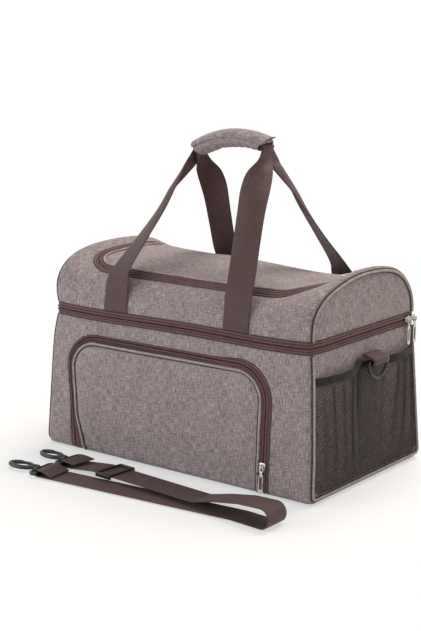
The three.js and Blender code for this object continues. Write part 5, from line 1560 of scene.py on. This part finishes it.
def crinkled(ring, z):
    crease = np.abs(ripple(ring, 15, 8.0)) + 0.6 * np.abs(ripple(ring, 6.5, 9.0))
    return ring - (lining["crinkle"] * np.clip((192 - z) / 8, 0, 1) * crease)[:, None] * tubOut


levels = [(lining["floor"] + lining["round"] * (1 - math.cos(turn)), lining["round"] * (1 - math.sin(turn)))
          for turn in np.linspace(0, math.pi / 2, 6)]
levels += [(z, 0.0) for z in np.linspace(lining["floor"] + lining["round"], lining["rim"], 36)[1:]]
rows = np.array([crinkled(tubPoint(tubU, z, lining["foil"], drawn), z) for z, drawn in levels])
index = np.arange(rows.shape[0] * rows.shape[1]).reshape(rows.shape[:2])
faces = np.stack([index[:-1], index[1:], np.roll(index[1:], -1, 1), np.roll(index[:-1], -1, 1)], -1)
wallsIn = makeMesh("lowerLiner", rows, faces.reshape(-1, 4), foil, paired([z for z, _ in levels], tubU))


def crumpled(a, b):
    at = np.stack([a, -b, 0 * a], -1)
    lift = np.abs(ripple(at, 17, 8.5)) + 0.5 * np.abs(ripple(at, 7, 9.5))
    edge = np.clip((195 - np.abs(a)) / 25, 0, 1) * np.clip((105 - np.abs(b)) / 20, 0, 1)
    return np.stack([a, -b, lining["floor"] + lining["crinkle"] * lift * edge], -1)


floorIn = clothRegion("floor", resample(rows[0][:, :2] * [1, -1], 6, closed=True), [], 6, crumpled, foil, 0)
fitted(joined("lowerLiner", [wallsIn, floorIn]), "foil", "bag_base", "lower_liner")
rings = np.array([tubPoint(tubU, z, inset) for inset, z in lining["foam"]])
fitted(roundSkin("lowerFoam", rings, foam, closed=True), "foam", "bag_base", "lower_foam")
tubBinding("lowerBinding", lining["lowerEdge"], "bag_base", lining["front"])
thread = barsOn("bindingStitches", tubPoint(tubU, 184.0, 9.15), -tubOut, stitch, seamAndShadeThread, 0.9, 6)
fitted(thread, "canvas", "bag_base")

# Back of the front pocket
backing = {"left": -191.0, "right": 166.0, "foot": 14.0, "top": 179.0, "step": 6.0, "behind": 10.6,
           "thickness": 0.9}
backLoop = rectangle(backing["left"], backing["right"], backing["foot"], backing["top"], backing["step"])


def backSurface(x, z):
    y = -(bag["halfDepth"] + flareAt(z) - backing["behind"])
    return np.stack([x, y + 0.5 * ripple(np.stack([x, 0 * x, z], -1), 40, 12.0), z], -1)


pocketBack = clothRegion("pocketBack", backLoop, [], backing["step"], backSurface, liningCloth,
                         backing["thickness"])
fitted(pocketBack, "canvas", "bag_base", "pocket_back")


# Dome lining and its foam
def domeInner(inset, seed, relief):
    def surface(x, s):
        at = domeBare(np.clip(x, -innerReach, innerReach), s, inset)
        at[..., 0] *= (bag["halfLength"] - inset) / innerReach
        flat = at.reshape(-1, 3)
        crease = np.abs(ripple(flat, 15, seed)) + 0.6 * np.abs(ripple(flat, 6.5, seed + 1))
        middle = unit((at - np.array([0, 0, 205.0])) * [0, 1, 1])
        return at - (relief * crease.reshape(at.shape[:-1]))[..., None] * middle
    return surface


domeFoot = 194.9
innerReach, innerFoot = bag["halfLength"] - bag["corner"], bag["archFoot"] - domeFoot
domeInside = rectangle(-innerReach, innerReach, -innerFoot, archEnd + innerFoot, 7)
domeHole = resample(flapCloth(flapLine(0.0, flap["back"])), 5, closed=True)
for name, inset, thick, relief, material, node, slot in (
        ("domeLiner", 7.2, 0.8, lining["crinkle"], foil, "dome_liner", "foil"),
        ("domeFoam", 2.0, 4.8, 0.0, foam, "dome_foam", "foam")):
    parts = [clothRegion(name, domeInside, [domeHole], 7, domeInner(inset, 14.0, relief), material, thick)]
    for side in (1, -1):
        loop = archLoop(inset, riseAt(side * innerReach), domeFoot)
        parts.append(clothRegion(f"{name}End", loop, [], 9, lambda a, b: np.stack(
            [np.full_like(a, side * (bag["halfLength"] - inset)), side * a, b], -1), material, thick))
    fitted(joined(name, parts), slot, "lid", node)
tubBinding("lidBinding", lining["lidEdge"], "lid", 0.0)
edgeLine = flapLine(0.6, flap["back"] - 0.6)
edgeIn = domeOut(edgeLine[:, 0], clothAt(edgeLine[:, 1]))
edgeAt = topPoint(edgeLine, 0, 0)
inPlan = unit(np.gradient(edgeLine, axis=0))
inPlan = np.stack([-inPlan[:, 1], inPlan[:, 0], 0 * inPlan[:, 0]], 1)
rows = np.stack([edgeAt - edgeIn * d + inPlan * w
                 for d, w in ((9.6, -9), (9.6, -2), (8.6, 0.2), (5, 0.6), (1.9, 0.3))], 1)
fitted(ribbon("flapBinding", rows, liningCloth), "canvas", "lid")


def quilted(a, b, size=44.0, depth=1.25):
    # cushions between diagonal lines of stitching
    p, q = (a + b) / size, (a - b) / size
    return depth * np.abs(np.sin(math.pi * p)) ** 0.5 * np.abs(np.sin(math.pi * q)) ** 0.5


# Divider: two faces of film quilted over a thin foam, with a bound edge: (from its edge inwards, height)
divider = {"x": 201.4, "y": 116.4, "z": 196.6, "corner": 3.0, "seam": 0.22, "held": 10.0, "fill": 0.5,
           "bind": [(9.0, 1.15), (8.0, 1.35), (1.5, 1.4), (0.3, 1.0), (0, 0), (0.3, -1.0), (1.5, -1.4),
                    (8.0, -1.35), (9.0, -1.15)]}
dividerLoop = roundedBox(-divider["x"], divider["x"], -divider["y"], divider["y"], divider["corner"])
dividerEdge = resample(dividerLoop, 7, closed=True)
dividerSwell = puffed(dividerEdge, 1.0, 6)
faces = [clothRegion("divider", dividerEdge, [], 6, lambda a, b: np.stack(
    [a, b, divider["z"] + side * dividerSwell(a, b) * (divider["seam"] + quilted(a, b))], -1), foil, 0)
    for side in (1, -1)]
dividerPiece = faceOutwards(joined("divider", faces), 0.05)
spot = np.abs(pointsOf(dividerPiece) / mm)
seams = (quilted(spot[:, 0], spot[:, 1], depth=1.0) < 0.3) | (spot[:, 0] > divider["x"] - divider["held"]) \
    | (spot[:, 1] > divider["y"] - divider["held"])
swollen(dividerPiece, seams, padding["quiltCap"], padding["quiltPressure"])
fitted(dividerPiece, "foil", "lid", "divider_panel")
loop = resample(dividerLoop, 4, closed=True)
inwards = unit(np.roll(loop, -1, 0) - np.roll(loop, 1, 0))
inwards = np.stack([-inwards[:, 1], inwards[:, 0]], 1)
rows = np.stack([np.column_stack([loop + inwards * w, np.full(len(loop), divider["z"] + h)])
                 for w, h in divider["bind"]], 1)
fitted(ribbon("dividerBinding", np.concatenate([rows, rows[:1]]), liningCloth), "canvas", "lid")

# Padding under the top flap, quilted on its underside
pad = {"rim": 9, "under": 5.2, "seam": 1.5, "quilt": 40.0, "thickness": 3.3, "held": 10.0, "fill": 0.5}
padLoop = resample(flapCloth(flapLine(flap["zip"] + pad["rim"], flap["back"] - pad["rim"])), 5, closed=True)
padEdge = puffed(padLoop, 1.0, 8)
flapPad = clothRegion("flapPad", padLoop, [], 6, lambda a, b: domeSurface(
    a, b, -pad["under"] - padEdge(a, b) * (pad["seam"] + quilted(a, b, pad["quilt"])), 0), foil, 0)
flapPad = thickened(flapPad, pad["thickness"], 1.0)
spot = pointsOf(flapPad) / mm
seams = nearness(spot, domeSurface(padLoop[:, 0], padLoop[:, 1], -pad["under"], 0)) < pad["held"] ** 2
seams |= quilted(spot[:, 0], clothAt(spot[:, 1]), pad["quilt"], 1.0) < 0.3
swollen(flapPad, seams, padding["quiltCap"], padding["quiltPressure"])
fitted(flapPad, "foil", "top_flap", "top_flap_pad")

# Stiffening board under the floor of the bag
baseBoard = {"half": 212.8, "front": -104.5, "rear": 114.8, "corner": 4.0, "thickness": 3.0, "middle": 3.3}
boardLoop = roundedBox(-baseBoard["half"], baseBoard["half"], baseBoard["front"], baseBoard["rear"],
                       baseBoard["corner"])
boardPiece = plate("baseBoard", boardLoop, [], baseBoard["thickness"], 0.5, board)
fitted(placed(boardPiece, (0, 0, baseBoard["middle"]), *flatWays), "board", "bag_base", "base_board")
print("linings made")


# How the soft bag has settled, as a push in millimetres at each place
def rise(value, low, high):
    share = np.clip((value - low) / (high - low), 0, 1)
    return share * share * (3 - 2 * share)


settle = {"end": 5.0, "sunk": 1.5, "sunkRight": 7.5, "ridge": 5.0, "corner": 3.4, "wave": 0.9, "dent": 2.5,
          "sliderClear": 1.0}


def settled(p):
    x, y, z = p.T
    push = np.zeros_like(p)
    front = rise(-y, 20, 105)
    # the left end is stuffed fuller than the right one
    push[:, 0] -= settle["end"] * rise(-x, 110, 205) * rise(-y, 25, 105)
    # the top sinks towards its right rear, inside a ridge that the right end holds up
    inner = rise(z, 226, 262) * rise(-np.abs(x), -197, -177) * rise(y, -95, -15)
    push[:, 2] -= inner * (settle["sunk"] + settle["sunkRight"] * rise(x, -60, 130))
    ridge = rise(x, 184, 203) * rise(z, 232, 262) * rise(y, -80, 0) * rise(-z, -330, -300)
    push[:, 2] += settle["ridge"] * ridge
    # the front corners round off at the big zip, whose line waves a little
    near = np.exp(-((210 - np.abs(x)) ** 2 + (125 + y) ** 2) / 650 - ((z - 196) / 28) ** 2)
    push[:, 0] -= np.sign(x) * settle["corner"] * near
    push[:, 1] += settle["corner"] * near
    push[:, 2] += settle["wave"] * np.sin(x / 47 + 1.2) * front * np.exp(-((z - 195) / 20) ** 2)
    # the front falls back a little at its right edge
    push[:, 1] += settle["dent"] * rise(x, 120, 205) * front * rise(z, 8, 60) * rise(-z, -235, -200)
    return push


def movedBy(piece, push):
    points = pointsOf(piece)
    setPoints(piece, points + push(points / mm) * mm)


hard = {nickel.name, acetal.name}
for piece in list(bpy.context.scene.objects):
    if piece.type != "MESH" or piece.name in frame["nodes"] or not piece.data.materials:
        continue
    if piece.name.startswith("shoulderStrap") or any(m and m.name in hard for m in piece.data.materials):
        continue
    movedBy(piece, settled)
for name in ("flapSlider", "flapPull"):
    sunk = settled(np.array([slider["flapAt"]])) + [0, 0, settle["sliderClear"]]
    movedBy(bpy.data.objects[name], lambda points: sunk)
print("bag settled")


# Camera, floor and light
camera = {"place": (1.136706, -1.514152, 0.590930), "target": (-0.046905, 0.012300, 0.181418), "lens": 80.9}
worldLight = 0.62
lamps = {
    "key": {"place": (-1.5, -2.0, 0.35), "target": (0, 0, 0.15), "size": 1.8, "power": 31.0,
            "colour": "fdfcff"},
    "fill": {"place": (2.6, -0.6, 1.4), "target": (0, 0, 0.15), "size": 1.6, "power": 5.0,
             "colour": "ffe6cf"},
    "top": {"place": (0.1, 1.3, 2.5), "target": (0, 0, 0.2), "size": 1.6, "power": 62.0,
            "colour": "fff2e2"},
}
studioFloor = {"half": 9000.0, "under": 1.0, "fadeFrom": 0.27, "fadeTo": 0.55, "leastWhite": 0.5}


def aimed(name, data, place, target):
    holder = newPiece(name, data)
    holder.location = place
    holder.rotation_euler = (Vector(target) - Vector(place)).to_track_quat("-Z", "Y").to_euler()
    return holder


eye = bpy.data.cameras.new("camera")
eye.lens = camera["lens"]
eye.sensor_width = 36.0
eye.sensor_fit = "AUTO"
eye.clip_end = 100
bpy.context.scene.camera = aimed("camera", eye, camera["place"], camera["target"])


def whereSeen(tree):
    # 1 for the rays that end in the camera, straight or by way of metal and glass, and 0 for plain light
    path = addNode(tree, "ShaderNodeLightPath")
    shown = path.outputs["Is Camera Ray"]
    for ray in ("Is Glossy Ray", "Is Transmission Ray"):
        shown = addNode(tree, "ShaderNodeMath", {"operation": "MAXIMUM"},
                        links={0: shown, 1: path.outputs[ray]}).outputs["Value"]
    return shown


floorMaterial, floorTree, floorShader = newMaterial("matt white studio floor", {
    "Roughness": 0.9, "Specular IOR Level": 0.1, "Base Color": hexColour("f2f1ef")})
floorPlace = addNode(floorTree, "ShaderNodeTexCoord")
floorLength = addNode(floorTree, "ShaderNodeVectorMath", {"operation": "LENGTH"},
                      links={0: floorPlace.outputs["Object"]})
floorFade = addNode(floorTree, "ShaderNodeMapRange", {"interpolation_type": "SMOOTHSTEP"},
                    {"From Min": studioFloor["fadeFrom"], "From Max": studioFloor["fadeTo"],
                     "To Min": studioFloor["leastWhite"], "To Max": 1.0},
                    {"Value": floorLength.outputs["Value"]})
floorShare = addNode(floorTree, "ShaderNodeMath", {"operation": "MULTIPLY"},
                     links={0: floorFade.outputs["Result"], 1: whereSeen(floorTree)})
white = addNode(floorTree, "ShaderNodeEmission", inputs={"Color": (1, 1, 1, 1), "Strength": 1.0})
floorMix = addNode(floorTree, "ShaderNodeMixShader", links={
    0: floorShare.outputs["Value"], 1: floorShader.outputs["BSDF"], 2: white.outputs["Emission"]})
floorTree.links.new(floorMix.outputs["Shader"], floorTree.nodes["Material Output"].inputs["Surface"])
corners = [(-1, -1), (1, -1), (1, 1), (-1, 1)]
makeMesh("floor", [[x * studioFloor["half"], y * studioFloor["half"], -studioFloor["under"]]
                            for x, y in corners], [[0, 1, 2, 3]], floorMaterial)

world = bpy.data.worlds.new("studio")
bpy.context.scene.world = world
world.use_nodes = True
worldTree = world.node_tree
sky = worldTree.nodes["Background"]
sky.inputs["Color"].default_value = hexColour("ffffff")
sky.inputs["Strength"].default_value = worldLight
behind = addNode(worldTree, "ShaderNodeBackground", inputs={"Color": (1, 1, 1, 1), "Strength": 1.0})
worldMix = addNode(worldTree, "ShaderNodeMixShader", links={
    0: whereSeen(worldTree), 1: sky.outputs["Background"], 2: behind.outputs["Background"]})
worldTree.links.new(worldMix.outputs["Shader"], worldTree.nodes["World Output"].inputs["Surface"])

for name, values in lamps.items():
    lamp = bpy.data.lights.new(name, "AREA")
    lamp.shape = "SQUARE"
    lamp.size = values["size"]
    lamp.energy = values["power"]
    lamp.color = hexColour(values["colour"])[:3]
    aimed(name, lamp, values["place"], values["target"])
bpy.context.scene.view_settings.view_transform = "Standard"
print("camera, floor and light made")
